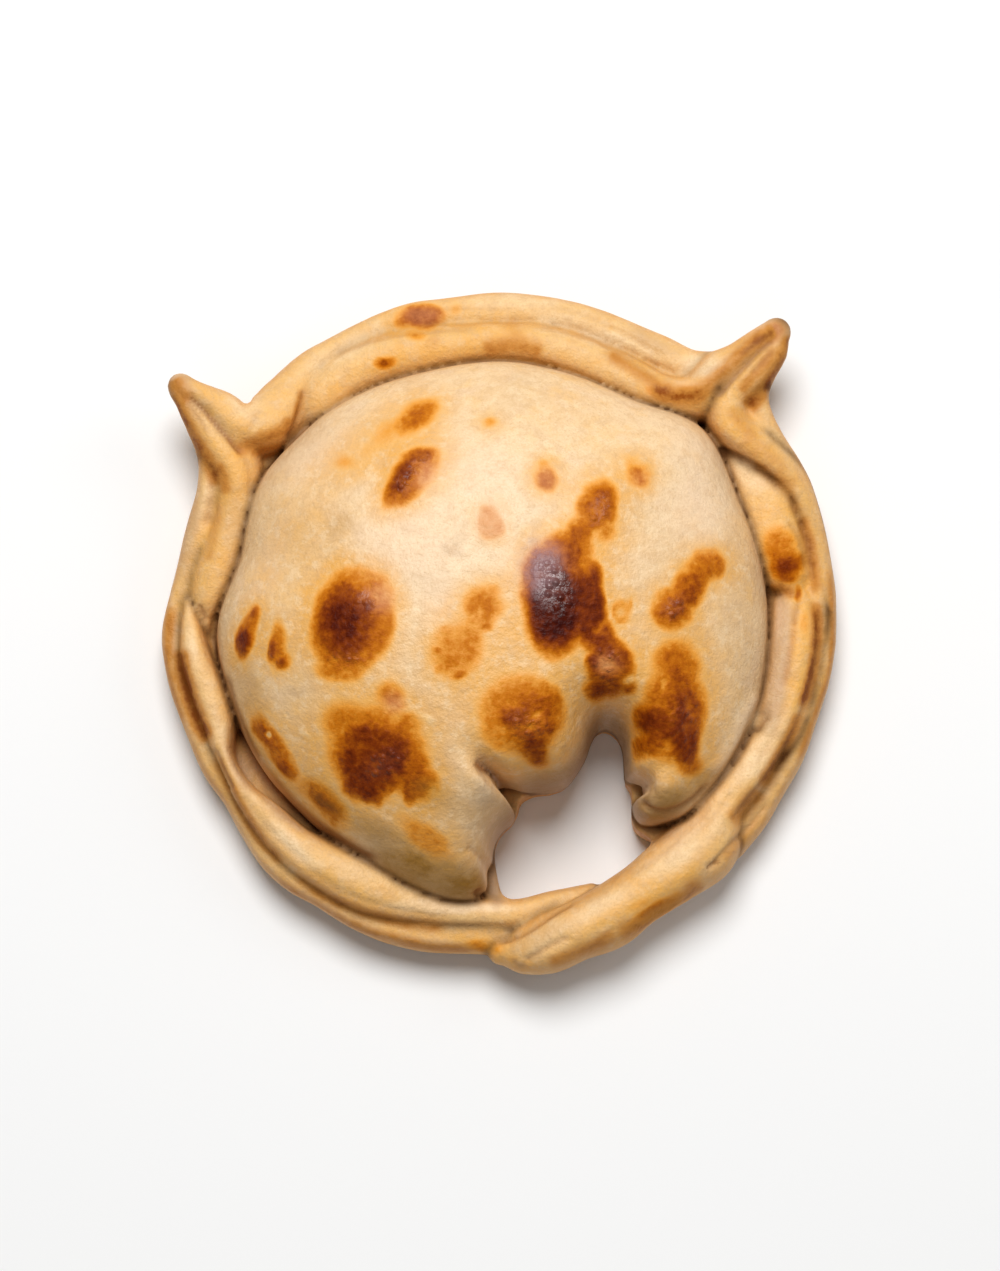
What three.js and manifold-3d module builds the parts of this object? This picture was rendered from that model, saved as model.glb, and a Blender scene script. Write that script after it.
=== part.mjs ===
// Empanada, baked: a filled pocket bent into a ring, its doubled border turned
// up as a rim round the dome and pinched into two horns at the back. The two
// ends of the pocket meet at the front, and a gap goes right through between
// them and the border that crosses in front.
//
// Millimetres, +Z up. The crossing of the border is at the front (-Y), the horns
// are at the back. The underside is flat and rests on z = 0.

import * as THREE from 'three';
import { mergeVertices } from 'three/addons/utils/BufferGeometryUtils.js';
import Module from 'manifold-3d';

const wasm = await Module();
wasm.setup();

// ---------------------------------------------------------------- sizes, mm
const CENTRE = { x: 0.12, y: -1.7 };      // moves the part's footprint centre to the origin

const DOME = {
  x: 0, y: 1,                            // middle of the dome
  seat: 7.5,                             // height at which the dome is widest
  crest: 34,                             // top of the dome
  fullness: 2.25,                        // 2 is an ellipsoid, more is flatter on top
  shoulder: 12,                          // width of the rounding down into the gap
  gapEdge: 4.5,                          // height of the dough at the gap's edge
};

// Radius of the dome's foot every 15 degrees, counter-clockwise from +X.
const FOOT = [44.9, 45.3, 46.1, 48.9, 45.6, 46.0, 46.8, 46.5, 47.2, 48.0, 48.6, 46.3,
              47.9, 46.9, 46.5, 45.4, 44.8, 46.0, 45.9, 45.5, 44.7, 45.1, 45.1, 45.1];

// Radius of the gap's outline every 30 degrees about a point inside it.
const GAP = { x: 12, y: -33.5, r: [9.6, 10.8, 15.8, 8.4, 8.0, 9.6, 10.3, 13.2, 12.6, 9.3, 9.6, 12.4] };

// Tucks in the two ends of the pocket: from, to, depth, half width.
const TUCKS = [
  [-5.5, -19, 2.5, -28, 4.5, 2.2],
  [26.5, -24.5, 21.5, -26, 4.0, 2.0],
  [30.5, -29.5, 24.5, -28.5, 1.6, 1.4],
];

const PLATE = { depth: 6.2, inset: 3.0 }; // dough under the rim, joining it to the dome

// Outer radius of the rim every 15 degrees about the dome's middle, without the horns.
const OUTER = [56.6, 57.4, 58.4, 59.6, 59.3, 58.7, 59.2, 59.0, 59.2, 58.6, 58.2, 56.8,
               56.4, 55.6, 55.1, 55.3, 55.2, 54.9, 56.6, 56.2, 55.6, 54.8, 54.4, 55.2];

// Bands of the folded border. Each station is x, y, height of the middle,
// half width, half height.
const BANDS = {
  rearLip: [
    [-55.3, 42.9, 13.5, 1.3, 1.6], [-52.6, 41.5, 13.0, 2.0, 2.7], [-48.7, 40.1, 11.5, 2.5, 3.9],
    [-44.6, 37.4, 10.3, 3.2, 5.0], [-40.6, 36.4, 9.3, 3.5, 5.6], [-37.3, 40.2, 8.2, 3.1, 6.0],
    [-34.5, 44.3, 7.0, 2.9, 6.0], [-29.8, 49.2, 5.8, 2.8, 5.6], [-22.3, 53.4, 5.0, 2.7, 5.0],
    [-12.0, 56.2, 4.8, 2.7, 4.8], [0, 57.2, 4.8, 2.7, 4.8], [10.3, 56.1, 4.8, 2.8, 4.8],
    [20.4, 52.6, 5.0, 2.9, 5.0], [28.9, 48.8, 5.5, 2.9, 5.2], [35.0, 46.0, 6.5, 2.4, 5.0],
  ],
  rearRoll: [
    [-37.8, 36.7, 5.5, 2.2, 4.5], [-34.0, 39.2, 6.8, 3.4, 5.8], [-28.1, 44.1, 7.2, 4.0, 6.4],
    [-19.6, 48.1, 7.3, 4.0, 6.4], [-10.2, 50.0, 7.3, 3.9, 6.4], [0, 51.2, 7.4, 3.9, 6.5],
    [10.2, 49.9, 7.3, 3.9, 6.4], [20.4, 45.9, 7.3, 4.0, 6.3], [27.5, 42.7, 8.0, 3.8, 6.0],
    [32.6, 41.8, 9.0, 3.2, 5.4], [36.4, 44.3, 10.2, 2.6, 4.7], [40.6, 47.7, 11.8, 2.4, 3.7],
    [44.3, 50.7, 13.2, 2.0, 2.7], [47.4, 52.2, 14.0, 1.3, 1.7],
  ],
  rightRim: [
    [47.8, 51.3, 14.0, 1.2, 1.6], [46.8, 48.7, 13.2, 1.9, 2.7], [44.7, 45.7, 11.6, 2.7, 3.8],
    [42.0, 42.9, 10.3, 3.2, 4.8], [39.1, 39.3, 9.2, 3.5, 5.6], [39.5, 35.2, 8.6, 3.4, 5.8],
    [43.2, 33.2, 8.0, 3.6, 6.0], [47.3, 29.2, 7.2, 3.4, 6.0], [50.0, 23.1, 6.4, 3.3, 5.8],
    [52.3, 15.1, 5.6, 3.0, 5.4], [53.7, 7.0, 5.0, 2.6, 4.9], [54.1, -0.7, 4.8, 2.2, 4.8],
    [52.8, -9.3, 4.8, 2.1, 4.8], [50.0, -17.2, 4.8, 2.3, 4.8], [46.2, -24.5, 4.8, 2.6, 4.8],
    [41.4, -31.3, 4.8, 2.8, 4.8], [36.8, -36.0, 4.6, 2.4, 4.5],
  ],
  rightPanel: [
    [38.7, 31.8, 6.5, 2.6, 4.8], [41.1, 27.4, 6.3, 3.6, 5.4], [44.4, 21.8, 6.4, 4.4, 5.4],
    [46.5, 16.1, 6.6, 4.3, 5.5], [48.0, 10.9, 6.6, 3.5, 5.2], [49.3, 5.9, 6.0, 2.4, 4.5],
  ],
  rightRoll: [
    [48.2, 12.0, 5.6, 2.4, 4.6], [49.0, 5.8, 6.6, 3.6, 6.0], [49.0, -1.9, 6.8, 4.1, 6.4],
    [47.8, -9.6, 6.8, 4.0, 6.3], [45.0, -16.8, 6.5, 3.6, 5.9], [41.2, -23.0, 6.0, 2.8, 5.0],
  ],
  frontBand: [
    [47.7, -11.3, 6.2, 1.8, 4.4], [44.9, -17.2, 7.0, 2.9, 5.6], [40.7, -24.1, 7.5, 3.7, 6.5],
    [35.8, -31.8, 7.6, 4.8, 7.0], [29.9, -38.9, 7.8, 5.2, 7.3], [23.2, -43.7, 8.1, 5.0, 7.2],
    [16.5, -47.9, 8.4, 4.7, 6.8], [10.2, -51.1, 8.0, 4.2, 6.0], [5.0, -53.3, 7.0, 3.3, 5.0],
    [1.3, -54.1, 6.0, 2.1, 3.8],
  ],
  frontUnder: [
    [-52.3, 5.2, 8.0, 0.9, 2.4], [-51.6, -0.4, 7.8, 2.0, 4.4], [-50.3, -7.2, 7.6, 2.7, 5.6],
    [-47.9, -14.6, 7.4, 2.6, 5.8], [-45.3, -21.1, 7.6, 2.0, 5.4], [-41.7, -28.4, 7.2, 2.9, 6.2],
    [-35.0, -34.9, 7.0, 3.6, 6.4], [-25.8, -40.9, 6.8, 4.1, 6.3], [-16.6, -45.0, 6.2, 3.9, 5.8],
    [-7.5, -47.6, 5.6, 4.0, 5.4], [0.8, -47.6, 5.2, 3.7, 5.0], [8.3, -45.4, 4.8, 2.8, 4.6],
    [15.4, -43.3, 4.2, 1.7, 4.0],
  ],
  leftLip: [
    [-48.6, 31.4, 6.2, 1.9, 4.4], [-50.8, 23.6, 5.4, 2.4, 5.1], [-52.8, 15.6, 5.1, 2.5, 5.0],
    [-54.1, 7.0, 5.0, 2.3, 5.0], [-54.6, -1.6, 4.8, 2.0, 4.8], [-53.5, -10.1, 4.8, 1.9, 4.8],
    [-50.3, -18.9, 4.8, 1.9, 4.8], [-45.2, -27.5, 4.8, 2.0, 4.8], [-39.5, -35.3, 4.8, 2.0, 4.8],
    [-32.3, -41.4, 4.7, 1.9, 4.7], [-23.1, -46.6, 4.7, 2.0, 4.7], [-13.2, -49.9, 4.6, 2.4, 4.6],
    [-5.0, -50.8, 4.6, 2.4, 4.6], [2.0, -51.4, 4.6, 2.6, 4.5], [11.0, -49.6, 4.4, 2.6, 4.4],
  ],
  leftLimb: [
    [-54.9, 42.3, 13.4, 1.3, 1.6], [-52.7, 39.1, 12.8, 2.1, 2.8], [-49.8, 35.0, 11.3, 2.7, 4.1],
    [-46.3, 31.3, 9.8, 3.0, 5.3], [-44.0, 27.6, 8.6, 2.9, 5.8], [-44.8, 22.8, 7.8, 3.0, 5.9],
    [-46.8, 17.7, 7.2, 3.1, 5.8], [-48.6, 12.1, 7.0, 2.9, 5.6], [-49.7, 6.6, 6.6, 2.2, 5.0],
    [-48.7, 2.0, 6.2, 1.0, 3.4],
  ],
};

const SECTION = { corners: 12, squareness: 2.5, step: 3.4 };   // of a band

// ---------------------------------------------------------------- small tools
const TAU = Math.PI * 2;

// Smooth periodic value from a table of evenly spaced ones.
function ringValue(table, angle) {
  const n = table.length;
  const f = (((angle / TAU) % 1) + 1) % 1 * n;
  const i = Math.floor(f), t = f - i;
  const [a, b, c, d] = [-1, 0, 1, 2].map((k) => table[(i + k + n) % n]);
  return b + 0.5 * t * (c - a + t * (2 * a - 5 * b + 4 * c - d + t * (3 * (b - c) + d - a)));
}

function segmentDistance(x, y, x0, y0, x1, y1) {
  const dx = x1 - x0, dy = y1 - y0;
  const t = THREE.MathUtils.clamp(((x - x0) * dx + (y - y0) * dy) / (dx * dx + dy * dy), 0, 1);
  return Math.hypot(x - x0 - t * dx, y - y0 - t * dy);
}

// three.js geometry to a manifold solid, outside out.
function solid(geometry) {
  geometry.deleteAttribute('normal');
  geometry.deleteAttribute('uv');
  const g = mergeVertices(geometry, 1e-5);
  const verts = Float32Array.from(g.attributes.position.array);
  const tris = [];
  const index = g.index.array;
  let volume = 0;
  for (let i = 0; i < index.length; i += 3) {
    const [a, b, c] = [index[i], index[i + 1], index[i + 2]];
    if (a === b || b === c || c === a) continue;
    const p = [a, b, c].map((k) => new THREE.Vector3(verts[3 * k], verts[3 * k + 1], verts[3 * k + 2]));
    volume += p[0].dot(p[1].clone().cross(p[2])) / 6;
    tris.push(a, b, c);
  }
  if (volume < 0) for (let i = 0; i < tris.length; i += 3) [tris[i], tris[i + 1]] = [tris[i + 1], tris[i]];
  return new wasm.Manifold(new wasm.Mesh({
    numProp: 3, vertProperties: verts, triVerts: Uint32Array.from(tris),
  }));
}

// ---------------------------------------------------------------- the pocket
const gapPoint = (u, grow = 0) => {
  const r = ringValue(GAP.r, u) + grow;
  return [GAP.x + r * Math.cos(u), GAP.y + r * Math.sin(u)];
};
const GAP_OUTLINE = Array.from({ length: 144 }, (_, i) => gapPoint((i / 144) * TAU));

function gapDistance(x, y) {
  let best = Infinity;
  for (const [gx, gy] of GAP_OUTLINE) best = Math.min(best, Math.hypot(x - gx, y - gy));
  return best;
}

function footReach(u) {             // from the gap's middle out to the dome's foot
  let low = 0, high = 110;
  for (let k = 0; k < 40; k++) {
    const r = (low + high) / 2;
    const x = GAP.x + r * Math.cos(u) - DOME.x, y = GAP.y + r * Math.sin(u) - DOME.y;
    if (Math.hypot(x, y) < ringValue(FOOT, Math.atan2(y, x))) low = r; else high = r;
  }
  return low;
}

function domeHeight(x, y) {
  const dx = x - DOME.x, dy = y - DOME.y;
  const rho = Math.min(1, Math.hypot(dx, dy) / ringValue(FOOT, Math.atan2(dy, dx)));
  const crown = Math.pow(1 - Math.pow(rho, DOME.fullness), 1 / DOME.fullness);
  let z = DOME.seat + (DOME.crest - DOME.seat) * crown;
  for (const [x0, y0, x1, y1, deep, wide] of TUCKS) {
    z -= deep * Math.exp(-Math.pow(segmentDistance(x, y, x0, y0, x1, y1) / wide, 2));
  }
  const near = 1 - Math.min(1, gapDistance(x, y) / DOME.shoulder);
  return DOME.gapEdge + (z - DOME.gapEdge) * Math.sqrt(Math.max(0, 1 - near * near));
}

function pocket() {
  const ring = 92, around = 36;
  const g = new THREE.TorusGeometry(2, 1, around, ring);
  const p = g.attributes.position;
  for (let i = 0; i < p.count; i++) {
    const u = Math.atan2(p.getY(i), p.getX(i));
    const across = Math.hypot(p.getX(i), p.getY(i)) - 2, lift = p.getZ(i);
    const inner = ringValue(GAP.r, u), outer = Math.max(footReach(u), inner + 3);
    const t = (1 + THREE.MathUtils.clamp(across, -1, 1)) / 2;
    const r = inner + (outer - inner) * t;
    const x = GAP.x + r * Math.cos(u), y = GAP.y + r * Math.sin(u);
    let z = 0;
    if (lift > 1e-6) z = domeHeight(x, y);
    else if (lift > -1e-6) z = across > 0 ? DOME.seat - 1.5 : DOME.gapEdge - 1.5;
    p.setXYZ(i, x, y, z);
  }
  return solid(g);
}

// ---------------------------------------------------------------- the border
function plate() {
  const shape = new THREE.Shape();
  const hole = new THREE.Path();
  for (let i = 0; i < 96; i++) {
    const u = (i / 96) * TAU;
    const r = ringValue(OUTER, u) - PLATE.inset;
    shape[i ? 'lineTo' : 'moveTo'](DOME.x + r * Math.cos(u), DOME.y + r * Math.sin(u));
  }
  for (let i = 0; i < 72; i++) {
    const [x, y] = gapPoint((-i / 72) * TAU);
    hole[i ? 'lineTo' : 'moveTo'](x, y);
  }
  shape.closePath();
  hole.closePath();
  shape.holes.push(hole);
  return solid(new THREE.ExtrudeGeometry(shape, { depth: PLATE.depth, bevelEnabled: false, steps: 1 }));
}

function band(stations) {
  const path = new THREE.CatmullRomCurve3(stations.map(([x, y, z]) => new THREE.Vector3(x, y, z)), false, 'centripetal');
  const size = new THREE.CatmullRomCurve3(stations.map(([, , , a, b]) => new THREE.Vector3(a, b, 0)), false, 'catmullrom', 0.5);
  const rows = Math.max(8, Math.round(path.getLength() / SECTION.step));
  const g = new THREE.CylinderGeometry(1, 1, 1, SECTION.corners, rows);
  const p = g.attributes.position;
  const soften = (v) => Math.sign(v) * Math.pow(Math.abs(v), 2 / SECTION.squareness);
  for (let i = 0; i < p.count; i++) {
    const s = THREE.MathUtils.clamp(0.5 - p.getY(i), 0, 1);
    const reach = Math.hypot(p.getX(i), p.getZ(i));
    const angle = Math.atan2(p.getZ(i), p.getX(i));
    const c = path.getPoint(s), half = size.getPoint(s);
    const along = path.getTangent(s);
    const side = new THREE.Vector3(-along.y, along.x, 0).normalize();
    const fromEnd = Math.min(s, 1 - s) * rows;                 // in rows
    const taper = Math.sqrt(1 - Math.pow(1 - Math.min(1, (fromEnd + 0.12) / 1.5), 2));
    const e = reach * taper;
    c.addScaledVector(side, half.x * e * soften(Math.cos(angle)));
    c.z += half.y * e * soften(Math.sin(angle));
    p.setXYZ(i, c.x, c.y, c.z);
  }
  return solid(g);
}

// ---------------------------------------------------------------- the whole
let dough = pocket().add(plate());
for (const stations of Object.values(BANDS)) dough = dough.add(band(stations));

// cut flat underneath
const below = new THREE.BoxGeometry(160, 160, 20);
below.translate(0, 0, -10);
dough = dough.subtract(solid(below));

// keep the gap clear right through
const mouth = new THREE.Shape();
for (let i = 0; i < 48; i++) {
  const [x, y] = gapPoint((i / 48) * TAU, -0.4);
  mouth[i ? 'lineTo' : 'moveTo'](x, y);
}
mouth.closePath();
const opening = new THREE.ExtrudeGeometry(mouth, { depth: 60, bevelEnabled: false, steps: 1 });
opening.translate(0, 0, -10);
dough = dough.subtract(solid(opening));

// one closed skin: the largest piece, with no shut-in hollows
const pieces = dough.decompose().sort((a, b) => Math.abs(b.volume()) - Math.abs(a.volume()));
const whole = pieces[0].simplify(0.03);

const mesh = whole.getMesh();
const geometry = new THREE.BufferGeometry();
geometry.setAttribute('position', new THREE.BufferAttribute(Float32Array.from(mesh.vertProperties), 3));
geometry.setIndex(new THREE.BufferAttribute(Uint32Array.from(mesh.triVerts), 1));
geometry.translate(CENTRE.x, CENTRE.y, 0);
geometry.computeVertexNormals();

const crust = new THREE.MeshStandardMaterial({ name: 'crust', color: 0xdcb47a, roughness: 0.62, metalness: 0 });
const empanada = new THREE.Mesh(geometry, crust);
empanada.name = 'empanada';

const part = new THREE.Group();
part.add(empanada);

export default part;
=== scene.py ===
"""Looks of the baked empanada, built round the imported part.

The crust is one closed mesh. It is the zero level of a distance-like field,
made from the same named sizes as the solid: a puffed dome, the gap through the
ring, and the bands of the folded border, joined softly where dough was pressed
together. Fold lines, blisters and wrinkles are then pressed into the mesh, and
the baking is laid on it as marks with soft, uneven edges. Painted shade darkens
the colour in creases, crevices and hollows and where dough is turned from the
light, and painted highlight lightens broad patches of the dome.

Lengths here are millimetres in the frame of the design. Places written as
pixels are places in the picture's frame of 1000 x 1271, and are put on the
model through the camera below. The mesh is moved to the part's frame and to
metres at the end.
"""

import math

import bpy
import numpy as np
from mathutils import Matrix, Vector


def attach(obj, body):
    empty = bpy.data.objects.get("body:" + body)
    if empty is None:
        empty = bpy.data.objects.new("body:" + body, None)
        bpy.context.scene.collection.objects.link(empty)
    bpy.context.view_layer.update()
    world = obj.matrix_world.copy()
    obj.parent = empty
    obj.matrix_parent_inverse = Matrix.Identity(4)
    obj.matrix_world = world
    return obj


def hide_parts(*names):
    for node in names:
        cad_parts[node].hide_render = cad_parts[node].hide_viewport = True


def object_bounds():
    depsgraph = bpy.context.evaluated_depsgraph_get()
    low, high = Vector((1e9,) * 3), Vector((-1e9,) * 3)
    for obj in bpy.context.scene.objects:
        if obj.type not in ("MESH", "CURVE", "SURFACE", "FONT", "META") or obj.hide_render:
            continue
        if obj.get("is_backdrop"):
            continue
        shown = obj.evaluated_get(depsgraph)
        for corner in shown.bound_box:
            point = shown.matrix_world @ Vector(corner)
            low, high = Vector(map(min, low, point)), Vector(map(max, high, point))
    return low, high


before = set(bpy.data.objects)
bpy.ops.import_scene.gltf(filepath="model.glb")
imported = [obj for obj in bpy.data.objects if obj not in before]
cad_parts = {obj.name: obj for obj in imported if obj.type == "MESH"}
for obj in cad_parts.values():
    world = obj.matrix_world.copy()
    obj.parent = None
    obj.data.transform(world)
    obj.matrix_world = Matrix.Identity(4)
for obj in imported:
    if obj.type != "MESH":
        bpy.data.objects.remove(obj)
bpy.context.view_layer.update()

# ----------------------------------------------------------------- sizes, mm
CENTRE = (0.12, -1.7)  # from the design's frame to the part's
DOME = dict(x=0.0, y=1.0, seat=7.5, crest=33.3, fullness=2.2)
FOOT = [45.1, 45.4, 46.1, 48.6, 45.6, 45.4, 45.9, 45.9, 46.9, 47.6, 47.9, 45.4,
        47.3, 46.7, 46.1, 45.0, 45.1, 46.4, 46.2, 45.5, 44.9, 45.1, 45.5, 45.3]
GAP = dict(height=6.5, edge=[  # where its edge shows, in pixels
    (606, 732), (615, 739), (620, 752), (621, 768), (621, 784), (626, 792), (627, 806), (627, 820), (632, 833),
    (646, 842), (664, 850), (650, 872), (615, 892), (570, 906), (530, 914), (512, 908), (506, 893), (501, 870),
    (499, 850), (504, 836), (515, 825), (522, 813), (525, 803), (536, 797), (553, 795), (568, 789), (579, 775),
    (587, 760), (592, 745), (598, 735)])
SHOULDER = dict(wide=13.0, square=5.0)  # rounding of the dome down into the gap
OUTER = [56.6, 57.4, 58.4, 59.6, 59.3, 58.7, 59.2, 59.0, 59.2, 58.6, 58.2, 56.8,
         56.4, 55.6, 55.1, 55.3, 55.2, 54.9, 56.6, 56.2, 55.6, 54.8, 54.4, 55.2]
FILL = dict(top=7.4, inset=3.6, low=3.2, low_at=211.0)  # dough under the bands

# The picture's camera, in the design's frame.
VIEW = dict(elevation=80.0, distance=600.0, height=10.0, lens=101.525, px_per_mm=5.974)

# Bands of the border. A station has both edges as they show, in pixels, then the
# height of the band's middle and half its thickness, in mm.
BANDS = {
    "rear_lip": dict(m=2.4, k=3.2, line=0.25, st=[
        (190, 382, 175, 396, 13.2, 2.1), (203, 386, 186, 403, 12.6, 3.0), (232, 395, 211, 426, 11.4, 4.1),
        (247, 407, 240, 450, 10.2, 5.2), (256, 398, 276, 451, 9.6, 5.6), (275, 378, 300, 426, 8.8, 5.6),
        (300, 358, 315, 392, 7.6, 5.3), (322, 345, 339, 370, 6.8, 5.1), (345, 332, 361, 361, 6.2, 5.1),
        (380, 316, 391, 347, 6.0, 5.3), (420, 303, 427, 341, 6.0, 5.5), (460, 297, 463, 340, 6.0, 5.6),
        (500, 294, 500, 339, 6.0, 5.6), (540, 298, 537, 339, 6.0, 5.6), (580, 305, 572, 344, 6.0, 5.6),
        (620, 319, 607, 359, 6.2, 5.6), (660, 335, 644, 375, 6.6, 5.5), (694, 351, 678, 391, 7.2, 5.2),
        (712, 353, 703, 388, 7.8, 4.6)]),
    "rear_roll": dict(m=2.15, k=0.9, line=1.0, st=[
        (291, 404, 284, 448, 5.6, 4.8), (312, 378, 323, 431, 6.8, 6.0), (338, 353, 356, 409, 7.2, 6.5),
        (370, 338, 383, 395, 7.4, 6.7), (405, 330, 413, 387, 7.5, 6.7), (450, 326, 455, 377, 7.6, 6.6),
        (500, 325, 500, 371, 7.6, 6.4), (545, 326, 537, 375, 7.6, 6.6), (590, 337, 575, 389, 7.6, 6.7),
        (630, 354, 615, 407, 7.8, 6.6), (665, 374, 652, 421, 8.4, 6.2), (692, 374, 694, 425, 9.4, 5.8),
        (714, 351, 729, 400, 10.6, 5.0), (730, 344, 747, 380, 11.6, 4.2), (750, 332, 772, 354, 12.6, 3.2),
        (765, 323, 785, 343, 13.2, 2.2)]),
    "right_rim": dict(m=2.2, k=0.8, line=1.0, st=[
        (765, 329, 788, 343, 13.2, 2.3), (754, 346, 788, 357, 12.6, 3.2), (738, 360, 778, 375, 11.6, 4.3),
        (720, 376, 760, 393, 10.8, 5.1), (706, 397, 748, 405, 10.0, 5.7), (704, 420, 749, 420, 9.4, 6.1),
        (716, 444, 759, 433, 8.9, 6.3), (737, 464, 776, 448, 8.4, 6.3), (760, 481, 793, 465, 7.8, 6.2),
        (780, 501, 806, 488, 7.0, 6.0), (790, 523, 815, 513, 6.4, 5.8), (798, 551, 822, 547, 6.0, 5.6),
        (804, 585, 827, 584, 5.6, 5.4), (808, 614, 827, 614, 5.4, 5.2), (812, 640, 824, 641, 5.0, 4.6)]),
    "right_lip": dict(m=2.6, k=2.6, line=0.8, st=[
        (744, 384, 767, 390, 8.6, 5.0), (743, 402, 769, 405, 8.0, 6.0), (750, 425, 773, 418, 7.2, 6.2),
        (764, 448, 782, 438, 6.6, 6.0), (776, 469, 793, 458, 6.0, 5.6), (787, 489, 803, 479, 5.4, 5.2),
        (795, 509, 812, 503, 5.1, 4.9), (803, 532, 821, 528, 5.0, 4.8), (808, 557, 827, 554, 5.0, 4.8),
        (811, 585, 831, 585, 5.0, 4.8), (812, 620, 834, 620, 5.0, 4.9), (811, 650, 834, 652, 5.0, 4.9),
        (805, 679, 829, 685, 5.0, 4.9), (795, 707, 819, 717, 5.0, 4.9), (775, 750, 802, 763, 5.0, 4.9),
        (758, 777, 784, 795, 5.0, 4.9), (737, 806, 765, 826, 4.9, 4.9), (718, 830, 744, 852, 4.8, 4.7)]),
    "right_panel": dict(m=2.5, k=0.9, line=1.0, st=[
        (713, 446, 743, 457, 6.2, 5.2), (724, 481, 774, 471, 6.8, 5.8), (734, 513, 796, 498, 7.0, 6.0),
        (744, 541, 806, 530, 7.1, 6.1), (754, 566, 811, 559, 7.1, 6.0), (764, 587, 810, 583, 6.6, 5.6),
        (775, 600, 803, 598, 5.8, 4.8)]),
    "right_roll": dict(m=2.3, k=0.9, line=1.0, st=[
        (771, 589, 810, 592, 5.8, 5.2), (766, 616, 820, 618, 6.6, 6.0), (762, 645, 822, 648, 7.0, 6.2),
        (759, 675, 818, 681, 7.0, 6.3), (753, 701, 811, 709, 7.0, 6.3), (746, 728, 800, 738, 6.8, 6.2),
        (736, 754, 782, 766, 6.2, 5.6)]),
    "left_lip": dict(m=2.6, k=2.0, line=0.8, st=[
        (202, 456, 226, 466, 8.0, 5.4), (197, 493, 225, 501, 7.0, 6.0), (189, 521, 217, 528, 6.2, 5.8),
        (181, 556, 208, 561, 5.6, 5.4), (171, 598, 197, 601, 5.1, 5.0), (163, 635, 188, 636, 5.0, 4.9),
        (165, 665, 190, 662, 5.0, 4.9), (174, 700, 200, 694, 5.0, 4.9), (190, 742, 217, 732, 5.0, 4.9),
        (205, 777, 230, 764, 5.0, 4.9), (222, 803, 246, 790, 4.9, 4.9), (240, 835, 262, 822, 4.9, 4.8),
        (259, 864, 280, 847, 4.8, 4.8), (288, 891, 304, 870, 4.8, 4.8), (319, 908, 331, 885, 4.8, 4.8),
        (359, 932, 368, 906, 4.8, 4.8), (399, 947, 405, 912, 4.9, 4.8), (440, 954, 443, 915, 5.0, 4.9),
        (480, 955, 482, 916, 5.0, 4.9), (512, 955, 522, 922, 4.6, 4.6)]),
    "left_limb": dict(m=2.2, k=1.6, line=1.0, st=[
        (173, 392, 190, 381, 13.2, 2.1), (175, 402, 199, 391, 12.6, 3.1), (185, 427, 219, 410, 11.4, 4.3),
        (201, 460, 244, 441, 10.2, 5.3), (211, 479, 263, 470, 9.2, 6.0), (214, 503, 264, 500, 8.4, 6.3),
        (208, 530, 257, 533, 7.8, 6.3), (199, 560, 248, 562, 7.4, 6.2), (190, 588, 236, 591, 7.0, 5.9),
        (190, 610, 224, 613, 6.4, 5.1), (201, 628, 214, 630, 5.6, 4.0)]),
    "front_under": dict(m=2.5, k=0.8, line=1.0, st=[
        (184, 603, 193, 605, 8.6, 2.2), (181, 633, 204, 632, 8.0, 4.4), (182, 665, 214, 661, 7.8, 5.6),
        (191, 697, 227, 688, 7.6, 6.0), (204, 730, 236, 720, 7.6, 5.9), (215, 760, 235, 754, 7.8, 5.6),
        (230, 794, 251, 782, 7.6, 5.9), (253, 833, 284, 809, 7.2, 6.3), (281, 864, 316, 836, 7.1, 6.4),
        (316, 890, 350, 851, 7.1, 6.4), (353, 911, 386, 866, 7.0, 6.3), (393, 923, 416, 882, 6.6, 6.0),
        (437, 929, 446, 898, 6.2, 5.6), (480, 932, 482, 899, 5.9, 5.4), (520, 931, 520, 899, 5.6, 5.1),
        (558, 920, 548, 891, 5.2, 4.8), (596, 903, 583, 885, 4.6, 4.2)]),
    "front_band": dict(m=2.2, k=1.0, line=1.0, st=[
        (778, 688, 806, 691, 5.6, 4.4), (771, 700, 804, 704, 6.3, 5.1), (757, 714, 800, 718, 6.9, 5.8), (740, 745, 786, 755, 7.2, 6.4), (722, 771, 764, 790, 7.4, 6.8),
        (699, 798, 740, 822, 7.5, 7.0), (675, 824, 733, 865, 7.6, 7.2), (650, 846, 698, 893, 7.7, 7.3),
        (622, 869, 655, 920, 7.8, 7.3), (596, 886, 621, 946, 8.0, 7.2), (568, 901, 582, 961, 8.1, 7.0),
        (544, 914, 547, 974, 7.8, 6.4), (522, 928, 519, 974, 7.0, 5.4), (506, 938, 500, 966, 6.2, 4.2)]),
}

STEP = 0.57  # of the grid
BLOCK = 8  # grid squares along a side of the larger squares of the flat underside


# ----------------------------------------------------------------- small tools
def ring_value(table, angle):
    """Smooth periodic value from a table of evenly spaced ones."""
    t = np.asarray(table, float)
    n = len(t)
    f = (angle / (2 * np.pi)) % 1.0 * n
    i = np.floor(f).astype(int)
    s = f - i
    a, b, c, d = (t[(i + k) % n] for k in (-1, 0, 1, 2))
    return b + 0.5 * s * (c - a + s * (2 * a - 5 * b + 4 * c - d + s * (3 * (b - c) + d - a)))


def smooth(lo, hi, v):
    t = np.clip((v - lo) / (hi - lo), 0, 1)
    return t * t * (3 - 2 * t)


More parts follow.
